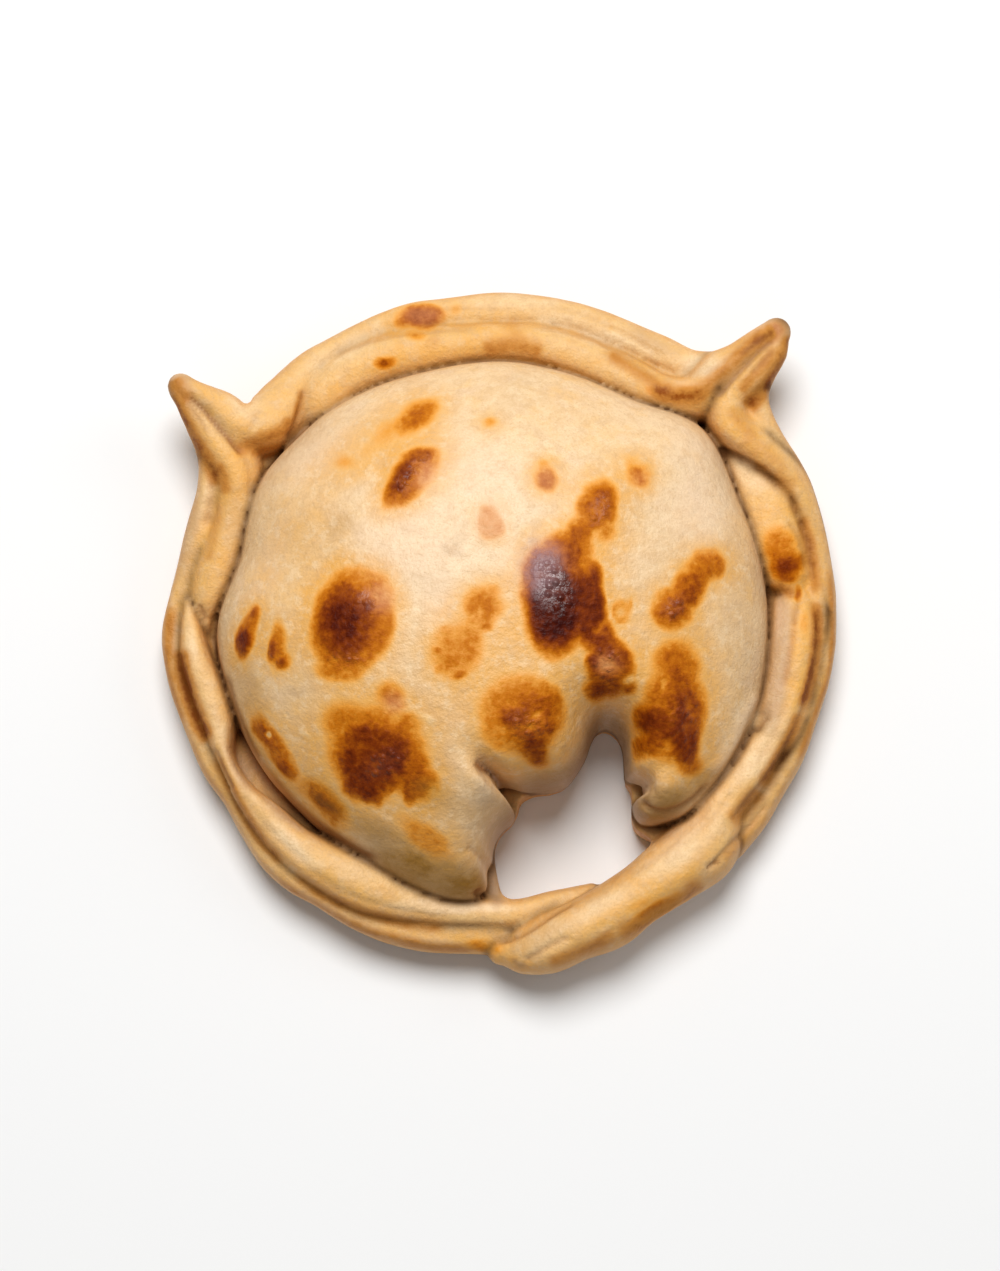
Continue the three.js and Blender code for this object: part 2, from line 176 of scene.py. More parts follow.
def spline(stations, step=0.4):
    """Dense points of a curve through the stations, all columns alike."""
    p = np.array(stations, float)
    d = np.sqrt(np.maximum(np.linalg.norm(np.diff(p[:, :3], axis=0), axis=1), 1e-6))
    slope = np.diff(p, axis=0) / d[:, None]
    m = np.empty_like(p)
    m[0], m[-1] = slope[0], slope[-1]
    w = (d[:-1] / (d[:-1] + d[1:]))[:, None]
    m[1:-1] = (1 - w) * slope[:-1] + w * slope[1:]
    out = []
    for i in range(len(p) - 1):
        n = max(3, int(np.ceil(d[i] ** 2 / step)))
        t = np.linspace(0, 1, n, endpoint=False)[:, None]
        out.append((2 * t**3 - 3 * t**2 + 1) * p[i] + (t**3 - 2 * t**2 + t) * d[i] * m[i]
                   + (-2 * t**3 + 3 * t**2) * p[i + 1] + (t**3 - t**2) * d[i] * m[i + 1])
    return np.vstack(out + [p[-1:]])


def nearest(qx, qy, curve):
    """For each point: index of the nearest curve point, offset to the left of the curve, reach beyond its ends."""
    c = curve[:, :2]
    tangent = np.gradient(c, axis=0)
    tangent /= np.linalg.norm(tangent, axis=1)[:, None] + 1e-9
    idx = np.empty(qx.size, int)
    for a in range(0, qx.size, 20000):
        s = slice(a, a + 20000)
        idx[s] = np.argmin((qx[s, None] - c[None, :, 0]) ** 2 + (qy[s, None] - c[None, :, 1]) ** 2, axis=1)
    dx, dy = qx - c[idx, 0], qy - c[idx, 1]
    tx, ty = tangent[idx, 0], tangent[idx, 1]
    along = dx * tx + dy * ty
    side = -dx * ty + dy * tx
    over = np.where(idx == 0, np.maximum(-along, 0), np.where(idx == len(c) - 1, np.maximum(along, 0), 0))
    return idx, side, over


def lattice(rng, x, y, z, size):
    """Smooth noise of about -1 to 1 with features of that size, on the grid."""
    shape = [int((v.max() - v.min()) / size) + 4 for v in (x, y, z)]
    g = rng.uniform(-1, 1, shape).astype(np.float32)
    for axis, v in enumerate((x, y, z)):
        f = (v - v.min()) / size + 1
        i = np.floor(f).astype(int)
        s = (f - i).astype(np.float32)
        w = [((1 - s) ** 3) / 6, (3 * s**3 - 6 * s**2 + 4) / 6, (-3 * s**3 + 3 * s**2 + 3 * s + 1) / 6, s**3 / 6]
        g = sum(np.take(g, np.clip(i + k - 1, 0, g.shape[axis] - 1), axis=axis)
                * w[k].reshape([-1 if a == axis else 1 for a in range(3)]) for k in range(4))
    return g * 2.2


def scatter_noise(seed, p, size):
    """The same kind of noise at any points."""
    rng = np.random.default_rng(seed)
    low = p.min(0) - 2 * size
    shape = np.ceil((p.max(0) + 2 * size - low) / size).astype(int) + 3
    g = rng.uniform(-1, 1, shape)
    f = (p - low) / size
    i = np.floor(f).astype(int)
    s = f - i
    w = [((1 - s) ** 3) / 6, (3 * s**3 - 6 * s**2 + 4) / 6, (-3 * s**3 + 3 * s**2 + 3 * s + 1) / 6, s**3 / 6]
    out = 0
    for a in range(4):
        for b in range(4):
            for c in range(4 if p.shape[1] == 3 else 1):
                at = [np.clip(i[:, 0] + a - 1, 0, shape[0] - 1), np.clip(i[:, 1] + b - 1, 0, shape[1] - 1)]
                k = w[a][:, 0] * w[b][:, 1]
                if p.shape[1] == 3:
                    at.append(np.clip(i[:, 2] + c - 1, 0, shape[2] - 1))
                    k = k * w[c][:, 2]
                out = out + k * g[tuple(at)]
    return out * 2.2


def join(a, b, k):
    h = np.maximum(k - np.abs(a - b), 0) / k
    return np.minimum(a, b) - h * h * k / 4


def meet(a, b, k):
    return -join(-a, -b, k)


tilt = math.radians(VIEW["elevation"])
SIN, COS = math.sin(tilt), math.cos(tilt)
FOCUS = VIEW["px_per_mm"] * VIEW["distance"]


def unpix(px, py, z):
    """The point at height z that shows at that place of the picture."""
    v = (635.5 - py) / FOCUS
    dz = z - VIEW["height"]
    y = (v * (VIEW["distance"] - dz * SIN) - dz * COS) / (SIN - v * COS)
    x = (px - 500) * (VIEW["distance"] + y * COS - dz * SIN) / FOCUS
    return x, y


def pix(p):
    """Where points show in the picture."""
    dz = p[:, 2] - VIEW["height"]
    away = VIEW["distance"] + p[:, 1] * COS - dz * SIN
    return 500 + FOCUS * p[:, 0] / away, 635.5 - FOCUS * (p[:, 1] * SIN + dz * COS) / away


# ----------------------------------------------------------------- the field
xs = np.arange(-60.0, 60.01, STEP)
ys = np.arange(-60.0, 63.01, STEP)
zs = np.arange(-2.5, 37.0, STEP)
X2, Y2 = np.meshgrid(xs, ys, indexing="ij")
Z1 = zs[None, None, :].astype(np.float32)
rng = np.random.default_rng(7)

ANG = np.arctan2(Y2 - DOME["y"], X2 - DOME["x"])
RAD = np.hypot(X2 - DOME["x"], Y2 - DOME["y"])
RHO = RAD / ring_value(FOOT, ANG)

gap_corner = np.array([unpix(px, py, GAP["height"]) for px, py in GAP["edge"]])
gap_turn = np.linspace(0, 2 * np.pi, 481)[:-1]
gap_line = np.column_stack([ring_value(gap_corner[:, k], gap_turn) for k in (0, 1)])


def gap_distance(x, y):
    """Positive in the dough, negative in the gap."""
    flat_x, flat_y = x.ravel(), y.ravel()
    d = np.empty(flat_x.size)
    for a in range(0, d.size, 20000):
        s = slice(a, a + 20000)
        d[s] = np.sqrt(np.min((flat_x[s, None] - gap_line[None, :, 0]) ** 2
                              + (flat_y[s, None] - gap_line[None, :, 1]) ** 2, axis=1))
    inside = np.zeros(d.size, bool)
    for (ax, ay), (bx, by) in zip(gap_line, np.roll(gap_line, -1, axis=0)):
        if ay != by:
            inside ^= ((ay > flat_y) != (by > flat_y)) & (flat_x < ax + (flat_y - ay) * (bx - ax) / (by - ay))
    return np.where(inside, -d, d).reshape(x.shape)


GAP_D = gap_distance(X2, Y2)


def fold(points):
    """A line pressed into the dome, given where it shows and how high it lies: depth and half width at each point,
    and how far the dough on its left stands proud."""
    st = [(*unpix(px, py, z), 0, deep, wide, proud) for px, py, z, deep, wide, proud in points]
    c = spline(st, 0.5)
    idx, side, over = nearest(X2.ravel(), Y2.ravel(), c)
    deep, wide, proud = c[idx, 3], np.maximum(c[idx, 4], 0.2), c[idx, 5]
    fade = np.exp(-((over / (2.0 * wide)) ** 2))
    line = deep * np.exp(-((side / wide) ** 2)) * fade
    lift = proud * smooth(-0.5, 0.8, side) * np.exp(-((np.maximum(side, 0) / 5.0) ** 2)) * fade
    return (lift - line).reshape(X2.shape)


def swell(px, py, z, r, high):
    x, y = unpix(px, py, z)
    return high * np.exp(-((X2 - x) ** 2 + (Y2 - y) ** 2) / (r * r))


def pocket_relief():
    """Tucks, flaps and swellings of the dome, as a raise along its surface."""
    d = np.zeros_like(X2)
    # the left end of the pocket tucks under the dome at the gap
    d += fold([(462, 742, 24, 0.0, 2.4, 0.0), (474, 758, 22, 1.2, 2.0, 0.0), (486, 772, 20, 3.4, 1.5, 0.0),
               (500, 785, 18, 6.5, 1.3, 0.0), (512, 795, 14, 8.0, 1.3, 0.0), (526, 806, 8, 8.0, 1.4, 0.0)])
    d += swell(482, 790, 17, 4.6, 0.7)
    # the right end: a notch, a pale swelling under it and the flap that curls round both
    d += fold([(618, 789, 12, 8.0, 1.0, 0.0), (634, 788.5, 14, 6.0, 1.0, 0.0), (646, 787, 16, 2.4, 1.1, 0.0),
               (655, 785, 17, 0.0, 1.2, 0.0)])
    d += swell(666, 794, 15, 2.6, 1.3) + swell(640, 808, 12, 3.0, 0.6)
    # wrinkles at the left end, low down beside the border
    d += fold([(486, 860, 12, 0.0, 1.0, 0.0), (490, 874, 11, 1.0, 0.9, 0.0), (500, 892, 9, 1.4, 0.9, 0.0)])
    return d


RELIEF = pocket_relief()

# dome with the gap's rounding, as a level made even by its own slope
p = DOME["fullness"]
q = SHOULDER["square"]
up = np.clip((Z1 - DOME["seat"]) / (DOME["crest"] - DOME["seat"]), 0, None)
down = np.clip((DOME["seat"] - Z1) / (DOME["seat"] + 4.0), 0, None)
beta = np.clip(1 - GAP_D / SHOULDER["wide"], 0, 2.2)
plan = ((RHO**q + beta**q) ** (p / q)).astype(np.float32)
level = (plan[:, :, None] + (up + down) ** p) ** (1 / p)
gx, gy, gz = np.gradient(level, STEP)
slope = np.sqrt(gx * gx + gy * gy + gz * gz)
del gx, gy, gz
F_dome = (level - 1) / np.maximum(slope, 0.014)
del slope, level
F_dome = np.clip(F_dome - RELIEF[:, :, None].astype(np.float32), -12, 12).astype(np.float32)


def band_field(band):
    st = []
    for ax, ay, bx, by, z, b in band["st"]:
        x, y = unpix((ax + bx) / 2, (ay + by) / 2, z)
        st.append((x, y, z, math.hypot(ax - bx, ay - by) / 2 / VIEW["px_per_mm"], b))
    c = spline(st, 0.35)
    m = band["m"]
    margin = 8.0
    i0, i1 = np.searchsorted(xs, [c[:, 0].min() - margin, c[:, 0].max() + margin])
    j0, j1 = np.searchsorted(ys, [c[:, 1].min() - margin, c[:, 1].max() + margin])
    x, y = X2[i0:i1, j0:j1], Y2[i0:i1, j0:j1]
    idx, side, over = nearest(x.ravel(), y.ravel(), c)
    cz, a, b = c[idx, 2], np.maximum(c[idx, 3], 0.4), np.maximum(c[idx, 4], 0.6)
    au = np.abs(side) / a
    al = over / np.minimum(a * 1.1, 2.6)
    flat = au**m + al**m
    tall = b.reshape(x.shape)[:, :, None]
    av = np.abs(Z1 - cz.reshape(x.shape)[:, :, None]) / tall
    q = (flat.reshape(x.shape)[:, :, None] + av**m) ** (1 / m)
    ga = ((au ** (m - 1) / a) ** 2 + (al ** (m - 1) / a) ** 2).reshape(x.shape)[:, :, None]
    g = np.maximum(q, 1e-3) ** (1 - m) * np.sqrt(ga + (av ** (m - 1) / tall) ** 2)
    g = np.maximum(g, 1 / (1.5 * np.maximum(a, b).reshape(x.shape)[:, :, None]))
    return (slice(i0, i1), slice(j0, j1)), np.clip((q - 1) / g, -12, 12).astype(np.float32)


F_rim = np.full(F_dome.shape, 12.0, np.float32)
first, second = F_rim.copy(), F_rim.copy()  # the two nearest bands, for the seams between them
line1, line2 = np.zeros_like(F_rim), np.zeros_like(F_rim)
for name, band in BANDS.items():
    where, f = band_field(band)
    F_rim[where] = join(F_rim[where], f, band["k"])
    was, next_was = first[where], second[where]
    line2[where] = np.where(f < was, line1[where], np.where(f < next_was, band["line"], line2[where]))
    line1[where] = np.where(f < was, band["line"], line1[where])
    second[where] = np.where(f < was, was, np.minimum(next_was, f))
    first[where] = np.minimum(was, f)

# dough under the bands, which joins them to the dome
edge = RAD - (ring_value(OUTER, ANG) - FILL["inset"])
turn = (np.degrees(ANG) - FILL["low_at"] + 180) % 360 - 180
top = FILL["top"] - FILL["low"] * np.exp(-((turn / 16.0) ** 2))
fill = np.maximum(np.maximum(edge, -GAP_D + 0.8)[:, :, None], Z1 - top[:, :, None]).astype(np.float32)
F_rim = join(F_rim, fill, 2.0)

# unevenness of the dough
F_dome += 0.42 * lattice(rng, xs, ys, zs, 17.0) + 0.13 * lattice(rng, xs, ys, zs, 6.5)
F_rim += 0.26 * lattice(rng, xs, ys, zs, 9.0) + 0.13 * lattice(rng, xs, ys, zs, 4.0)

F = join(F_dome, F_rim, 0.75)
F = meet(F, np.broadcast_to(-Z1, F.shape), 1.2).astype(np.float32)


# ----------------------------------------------------------------- its surface
def surface(F, origin, h):
    """One closed quad mesh at the field's zero level."""
    s = F < 0
    corner = [(i, j, k) for i in (0, 1) for j in (0, 1) for k in (0, 1)]
    n = np.array(F.shape) - 1
    some, every = np.zeros(n, bool), np.ones(n, bool)
    for i, j, k in corner:
        c = s[i:i + n[0], j:j + n[1], k:k + n[2]]
        some |= c
        every &= c
    active = some & ~every
    cell = np.argwhere(active)
    number = np.full(n, -1, np.int64)
    number[active] = np.arange(len(cell))
    value = np.stack([F[cell[:, 0] + i, cell[:, 1] + j, cell[:, 2] + k] for i, j, k in corner], 1)
    place, hits = np.zeros((len(cell), 3)), np.zeros(len(cell))
    for a in range(8):
        for b in range(a + 1, 8):
            pa, pb = np.array(corner[a]), np.array(corner[b])
            if np.abs(pa - pb).sum() != 1:
                continue
            fa, fb = value[:, a], value[:, b]
            cross = (fa < 0) != (fb < 0)
            t = np.where(cross, fa / np.where(cross, fa - fb, 1), 0)
            place += np.where(cross[:, None], pa + t[:, None] * (pb - pa), 0)
            hits += cross
    verts = origin + h * (cell + place / hits[:, None])
    quads = []
    for axis in range(3):
        u, v = [(1, 2), (2, 0), (0, 1)][axis]
        step = np.zeros(3, int)
        step[axis] = 1
        lo = s[: s.shape[0] - step[0], : s.shape[1] - step[1], : s.shape[2] - step[2]]
        hi = s[step[0]:, step[1]:, step[2]:]
        e = np.argwhere(lo != hi)
        e = e[(e[:, u] > 0) & (e[:, v] > 0)]
        du, dv = np.zeros(3, int), np.zeros(3, int)
        du[u], dv[v] = 1, 1
        ring = [e - du - dv, e - dv, e, e - du]
        q = np.stack([number[r[:, 0], r[:, 1], r[:, 2]] for r in ring], 1)
        flip = ~lo[e[:, 0], e[:, 1], e[:, 2]]
        q[flip] = q[flip][:, ::-1]
        quads.append(q)
    return verts, np.vstack(quads), cell


def untangle(F):
    """Fills the few places where the dough would touch itself only along an edge or at a corner of the grid."""
    unit = np.eye(3, dtype=int)
    for _ in range(30):
        s = F < 0
        found = 0
        for a, b in ((0, 1), (0, 2), (1, 2)):
            def part(i, j):
                cut = [slice(None)] * 3
                cut[a], cut[b] = slice(i, s.shape[a] - 1 + i), slice(j, s.shape[b] - 1 + j)
                return s[tuple(cut)]
            odd = (part(0, 0) == part(1, 1)) & (part(1, 0) == part(0, 1)) & (part(0, 0) != part(1, 0))
            for at in np.argwhere(odd):
                around_it = [tuple(at + i * unit[a] + j * unit[b]) for i, j in ((0, 0), (1, 0), (1, 1), (0, 1))]
                outside = [c for c in around_it if F[c] >= 0]
                if len(outside) > 1:
                    F[min(outside, key=lambda c: F[c])] = -0.02
                    found += 1
        s = F < 0
        n = np.array(F.shape) - 1
        part8 = {(i, j, k): s[i:i + n[0], j:j + n[1], k:k + n[2]] for i in (0, 1) for j in (0, 1) for k in (0, 1)}
        inside = sum(v.astype(np.uint8) for v in part8.values())
        for d in ((0, 0, 0), (1, 0, 0), (0, 1, 0), (0, 0, 1)):
            far = tuple(1 - v for v in d)
            both, neither = part8[d] & part8[far], ~part8[d] & ~part8[far]
            for at in np.argwhere(((inside == 2) & both) | ((inside == 6) & neither)):
                for c in part8:
                    here = tuple(at + np.array(c))
                    if F[here] >= 0:
                        F[here] = -0.02
                        found += 1
        if not found:
            break
    return F


def largest(verts, quads):
    """The biggest shell, without islands or sealed hollows."""
    label = np.arange(len(verts))
    a = np.concatenate([quads[:, i] for i in range(4)])
    b = np.concatenate([quads[:, (i + 1) % 4] for i in range(4)])
    while True:
        low = np.minimum(label[a], label[b])
        new = label.copy()
        np.minimum.at(new, a, low)
        np.minimum.at(new, b, low)
        new = new[new]
        new = new[new]
        if np.array_equal(new, label):
            break
        label = new
    keep = label == np.bincount(label).argmax()
    index = np.cumsum(keep) - 1
    return verts[keep], index[quads[keep[quads[:, 0]]]], keep


def coarser_underside(verts, quads, cell, n):
    """Quads without those in whole blocks of n x n on the flat underside, and the fans that take their place."""
    low = verts[:, 2] < 1e-3
    flat = low & (cell[:, 2] == np.bincount(cell[low, 2]).argmax())
    on = flat[quads].all(1)
    corner = cell[quads].min(1)[:, :2]
    size = (cell[:, :2].max(0) // n + 2) * n
    has = np.zeros(size, bool)
    has[corner[on, 0], corner[on, 1]] = True
    at = np.full(size + 1, -1)
    at[cell[flat, 0], cell[flat, 1]] = np.flatnonzero(flat)
    whole = has.reshape(size[0] // n, n, size[1] // n, n).all((1, 3))
    gone = on & whole[corner[:, 0] // n, corner[:, 1] // n]
    t = np.arange(n)
    ring = np.concatenate([np.stack([t, 0 * t], 1), np.stack([0 * t + n, t], 1), np.stack([n - t, 0 * t + n], 1),
                           np.stack([0 * t, n - t], 1)])
    fans = []
    for i, j in np.argwhere(whole) * n:
        edge = at[i + ring[:, 0], j + ring[:, 1]]
        middle = np.full(4 * n, at[i + n // 2, j + n // 2])
        fans.append(np.stack([middle, np.roll(edge, -1), edge], 1))
    return quads[~gone], np.concatenate(fans) if fans else np.zeros((0, 3), int)


def sample(G, p):
    f = (p - ORIGIN) / STEP
    i = np.clip(np.floor(f).astype(int), 0, np.array(G.shape) - 2)
    t = np.clip(f - i, 0, 1)
    out = 0
    for a in (0, 1):
        for b in (0, 1):
            for c in (0, 1):
                w = (t[:, 0] if a else 1 - t[:, 0]) * (t[:, 1] if b else 1 - t[:, 1]) * (t[:, 2] if c else 1 - t[:, 2])
                out = out + w * G[i[:, 0] + a, i[:, 1] + b, i[:, 2] + c]
    return out


def gradient(G, p, e=0.4):
    g = np.empty_like(p)
    for k in range(3):
        d = np.zeros(3)
        d[k] = e
        g[:, k] = (sample(G, p + d) - sample(G, p - d)) / (2 * e)
    return g


ORIGIN = np.array([xs[0], ys[0], zs[0]])
verts, quads, cell = surface(untangle(F), ORIGIN, STEP)
verts, quads, keep = largest(verts, quads)
cell = cell[keep]

tail = quads.ravel()
head = np.roll(quads, -1, axis=1).ravel()
degree = np.bincount(head, minlength=len(verts))


def around(values):
    """Average of the neighbours."""
    if values.ndim == 1:
        return np.bincount(head, weights=values[tail], minlength=len(values)) / degree
    return np.column_stack([around(values[:, k]) for k in range(values.shape[1])])


for turn_no in range(3):
    g = gradient(F, verts)
    size = np.linalg.norm(g, axis=1)
    move = -sample(F, verts)[:, None] * g / np.maximum(size * size, 0.2)[:, None]
    verts += np.clip(move, -0.2, 0.2) * np.clip((size - 0.55) / 0.3, 0, 1)[:, None]
    verts += 0.35 * (around(verts) - verts)
verts[:, 2] = np.maximum(verts[:, 2], 0.0)
normal = gradient(F, verts)
normal /= np.linalg.norm(normal, axis=1)[:, None] + 1e-9

# ----------------------------------------------------------------- what shows where
# painted shade: how far nearby dough closes round each place, which darkens the colour in creases and hollows
near1, near2 = sample(F, verts + 0.9 * normal), sample(F, verts + 2.2 * normal)
crease_shade = np.clip(1 - 0.5 * (near1 / 0.9 + near2 / 2.2), 0, 1)
for _ in range(3):
    crease_shade = 0.4 * crease_shade + 0.6 * around(crease_shade)
open_pit = (758, 722, 14, 12, 0, 0.6, 6)
curve = ((verts - around(verts)) * normal).sum(1) / (STEP * STEP) * 2
for _ in range(8):
    curve = 0.4 * curve + 0.6 * around(curve)
ridge = smooth(0.10, 0.42, curve)
apart = sample(F_dome, verts) - sample(F_rim, verts)
on_rim = smooth(-0.4, 0.4, apart)
# painted shade: a dark line along the crevices where the dome meets the border and where bands meet each other
seam_shade = np.maximum(np.exp(-((apart / 0.6) ** 2)) * smooth(2.0, 5.0, verts[:, 2]) * (0.55 + 0.45 * smooth(0.0, 0.2, crease_shade)),
                  np.exp(-(((sample(second, verts) - sample(first, verts)) / 0.55) ** 2))
                  * sample(line1, verts) * sample(line2, verts) * smooth(-0.2, 0.5, apart) * smooth(0.0, 0.12, crease_shade))
for _ in range(4):
    seam_shade = 0.4 * seam_shade + 0.6 * around(seam_shade)
seam_shade = np.clip(seam_shade * 1.5, 0, 1)
steep = smooth(0.93, 0.45, normal[:, 2])
back = np.array([0, -COS, SIN])
seen = smooth(0.05, 0.35, normal @ back)
PX, PY = pix(verts)
warp = np.column_stack([scatter_noise(11, verts, 2.6), scatter_noise(12, verts, 2.6)]) * 2.4 \
    + np.column_stack([scatter_noise(13, verts, 1.1), scatter_noise(14, verts, 1.1)]) * 1.3
WX, WY = PX + warp[:, 0], PY + warp[:, 1]


def stroke(points, wide, taper=0.12):
    """How near each point shows to a drawn line, 1 on it; and its signed distance in half widths."""
    c = spline([(x, y, 0) for x, y in points], 1.0)
    value, side_of = np.zeros(len(verts)), np.full(len(verts), 9.0)
    margin = 4 * wide
    sel = np.flatnonzero((PX > c[:, 0].min() - margin) & (PX < c[:, 0].max() + margin)
                         & (PY > c[:, 1].min() - margin) & (PY < c[:, 1].max() + margin) & (seen > 0.01))
    idx, side, over = nearest(PX[sel], PY[sel], c)
    t = idx / (len(c) - 1)
    ends = smooth(0, taper, t) * smooth(0, taper, 1 - t) if taper else 1.0
    value[sel] = np.exp(-(side * side + over * over) / (wide * wide)) * ends * seen[sel]
    side_of[sel] = side / wide
    return value, side_of


# Fold lines of the border: where they show, depth in mm, half width in px, and how dark the painted shade along the
# line is.
RIM_FOLDS = [
    ([(304, 386), (302, 402), (296, 424), (286, 442)], 0.5, 3.5, 0.55),
    ([(322, 362), (340, 352), (370, 341), (400, 334), (440, 330), (480, 329)], 0.30, 3.5, 0.20),
    ([(520, 328), (555, 329), (590, 338), (625, 352), (660, 368), (690, 380)], 0.30, 3.5, 0.12),
    ([(405, 316), (440, 310), (480, 308), (520, 310)], 0.15, 3.0, 0.14),
    ([(548, 306), (580, 313), (610, 326), (640, 343), (668, 362)], 0.30, 3.0, 0.16),
    ([(596, 340), (620, 354), (645, 371), (662, 384)], 0.20, 3.0, 0.12),
    ([(700, 378), (722, 362), (745, 342), (762, 328)], 0.3, 3.0, 0.15),
    ([(716, 400), (728, 384), (744, 367), (758, 352), (770, 342), (778, 336)], 0.5, 3.8, 0.62),
    ([(742, 354), (756, 343), (768, 335), (776, 331)], 0.25, 3.4, 0.6), ([(750, 375), (762, 362), (774, 350)], 0.25, 3.4, 0.4),
    ([(175, 384), (183, 396), (196, 414), (210, 434)], 0.2, 3.4, 0.35),
    ([(716, 447), (738, 457), (760, 469), (782, 491)], 0.4, 3.5, 0.5),
    ([(788, 498), (797, 515), (806, 540), (811, 565), (815, 585)], 0.3, 3.0, 0.4),
    ([(786, 520), (797, 534), (803, 552), (806, 572)], 0.3, 3.0, 0.35),
    ([(770, 596), (784, 594), (799, 597)], 0.4, 3.0, 0.35),
    ([(800, 588), (798, 604), (793, 628)], 0.35, 3.5, 0.40),
    ([(793, 626), (788, 660), (782, 690)], 0.35, 4.0, 0.18),
    ([(817, 600), (819, 622), (818, 650), (812, 680), (803, 710), (780, 760), (750, 797), (726, 828)], 0.35, 3.5, 0.5),
    ([(795, 668), (786, 704), (770, 742), (752, 770)], 0.3, 4.0, 0.12),
    ([(772, 800), (746, 830), (724, 853), (712, 866)], 0.5, 3.5, 0.4),
    ([(756, 733), (761, 724), (769, 717)], 0.4, 3.0, 0.4),
    ([(715, 800), (690, 828), (655, 858), (622, 880)], 0.35, 4.0, 0.1),
    ([(735, 790), (706, 824), (676, 850)], 0.3, 4.0, 0.1),
    ([(706, 869), (712, 865), (720, 862)], 0.5, 3.0, 0.7),
    ([(576, 900), (562, 908), (545, 919), (530, 930), (512, 939), (494, 944)], 0.5, 3.0, 0.5),
    ([(588, 892), (560, 902), (540, 911)], 0.15, 4.0, 0.06),
    ([(236, 722), (248, 750), (264, 776), (286, 797), (312, 817)], 0.3, 8.0, 0.70),
    ([(522, 963), (538, 953), (556, 943), (572, 936)], 0.5, 3.5, 0.35),
    ([(512, 960), (517, 966), (526, 967)], 0.3, 3.0, 0.3),
    ([(198, 604), (203, 614), (208, 622)], 0.5, 3.0, 0.6),
    ([(214, 747), (222, 768), (233, 792)], 0.4, 3.5, 0.35),
    ([(300, 862), (330, 884), (370, 903), (420, 914), (460, 918)], 0.3, 3.5, 0.12),
    ([(240, 790), (262, 822), (285, 846), (312, 868)], 0.3, 4.5, 0.15),
    ([(205, 462), (212, 480), (212, 500), (206, 530)], 0.4, 5.0, 0.3),
    ([(232, 440), (247, 462), (251, 480), (250, 500)], 0.3, 4.0, 0.2),
    ([(262, 408), (254, 420), (246, 436)], 0.2, 3.0, 0.2),
    ([(184, 392), (200, 406), (216, 424), (232, 442), (246, 457)], 0.5, 4.0, 0.85),
]
# Fold lines of the dome's flaps and wrinkles, with the same numbers and painted shade.
DOME_FOLDS = [
    ([(636, 797), (648, 808), (662, 812), (680, 808), (696, 798), (710, 782)], 0.6, 3.5, 0.55),
    ([(652, 826), (672, 828), (692, 816), (712, 795), (728, 770), (742, 744), (752, 718)], 0.4, 4.5, 0.30),
    ([(466, 846), (482, 858), (490, 876)], 0.35, 4.0, 0.2),
    ([(474, 898), (482, 892), (487, 900)], 0.8, 4.0, 0.8),
    ([(264, 772), (282, 795), (304, 816), (330, 834), (356, 850), (384, 864)], 0.35, 6.0, 0.85),
    ([(226, 672), (236, 708), (248, 738), (262, 766)], 0.2, 3.0, 0.5),
    ([(628, 789), (640, 788), (649, 786)], 0.6, 3.5, 0.9),
    ([(474, 758), (484, 769), (494, 780), (506, 790), (520, 801)], 0.5, 6.0, 0.9),
    ([(285, 688), (296, 696), (306, 692)], 0.08, 2.5, 0.15),
]
# Raised lines: flap and ridges, height in mm, half width in px, how golden, how pink.
RAISES = [
    ([(757, 690), (747, 712), (737, 734), (724, 756), (708, 776)], 0.45, 5.0, 0.0, 0.35),
    ([(606, 346), (630, 359), (655, 375), (682, 390)], 0.25, 5.0, 0.55, 0.0),
    ([(470, 336), (495, 322), (512, 312), (530, 318), (540, 334)], 0.15, 10.0, 0.3, 0.0),
    ([(640, 388), (675, 393), (705, 385), (728, 366), (752, 345)], 0.2, 7.0, 0.7, 0.35),
    ([(778, 350), (764, 372), (748, 392), (735, 408)], 0.2, 5.0, 0.5, 0.2),
    ([(720, 400), (716, 420), (730, 432), (752, 446), (776, 467), (797, 494), (808, 520)], 0.2, 8.0, 0.45, 0.0),
    ([(803, 640), (800, 665), (792, 700), (775, 740)], 0.2, 6.0, 0.6, 0.0),
    ([(192, 386), (212, 402), (236, 424), (256, 434), (276, 428), (292, 408)], 0.2, 7.0, 0.7, 0.0),
    ([(176, 398), (196, 424), (222, 452), (236, 476), (240, 500)], 0.2, 7.0, 0.7, 0.0),
    ([(172, 640), (173, 670), (184, 708), (200, 745)], 0.1, 5.0, 0.6, 0.25),
    ([(262, 830), (290, 858), (330, 888), (372, 908), (410, 916)], 0.1, 6.0, 0.6, 0.0),
    ([(280, 880), (320, 903), (360, 925), (400, 938), (460, 944)], 0.1, 5.0, 0.7, 0.3),
    ([(720, 840), (695, 868), (662, 890), (628, 908), (590, 928), (555, 950)], 0.2, 9.0, 0.75, 0.0),
    ([(700, 820), (672, 848), (640, 868)], 0.15, 4.0, 0.0, 0.3),
    ([(760, 775), (742, 800), (722, 822)], 0.2, 6.0, 0.5, 0.0),
]

# painted shade: dark brown along the fold lines, the shade in their creases
fold_shade = np.zeros(len(verts))
line_gold = np.zeros(len(verts))
line_pink = np.zeros(len(verts))
push = np.zeros(len(verts))
for table, mask in ((RIM_FOLDS, on_rim), (DOME_FOLDS, 1 - on_rim)):
    for points, deep, wide, dark in table:
        value, _ = stroke(points, wide)
        push -= deep * value * mask
        fold_shade = np.maximum(fold_shade, dark * value**1.6 * mask)
for points, high, wide, golden, pinkish in RAISES:
    value, _ = stroke(points, wide)
    push += high * value
    line_gold = np.maximum(line_gold, golden * value)
    line_pink = np.maximum(line_pink, pinkish * value)

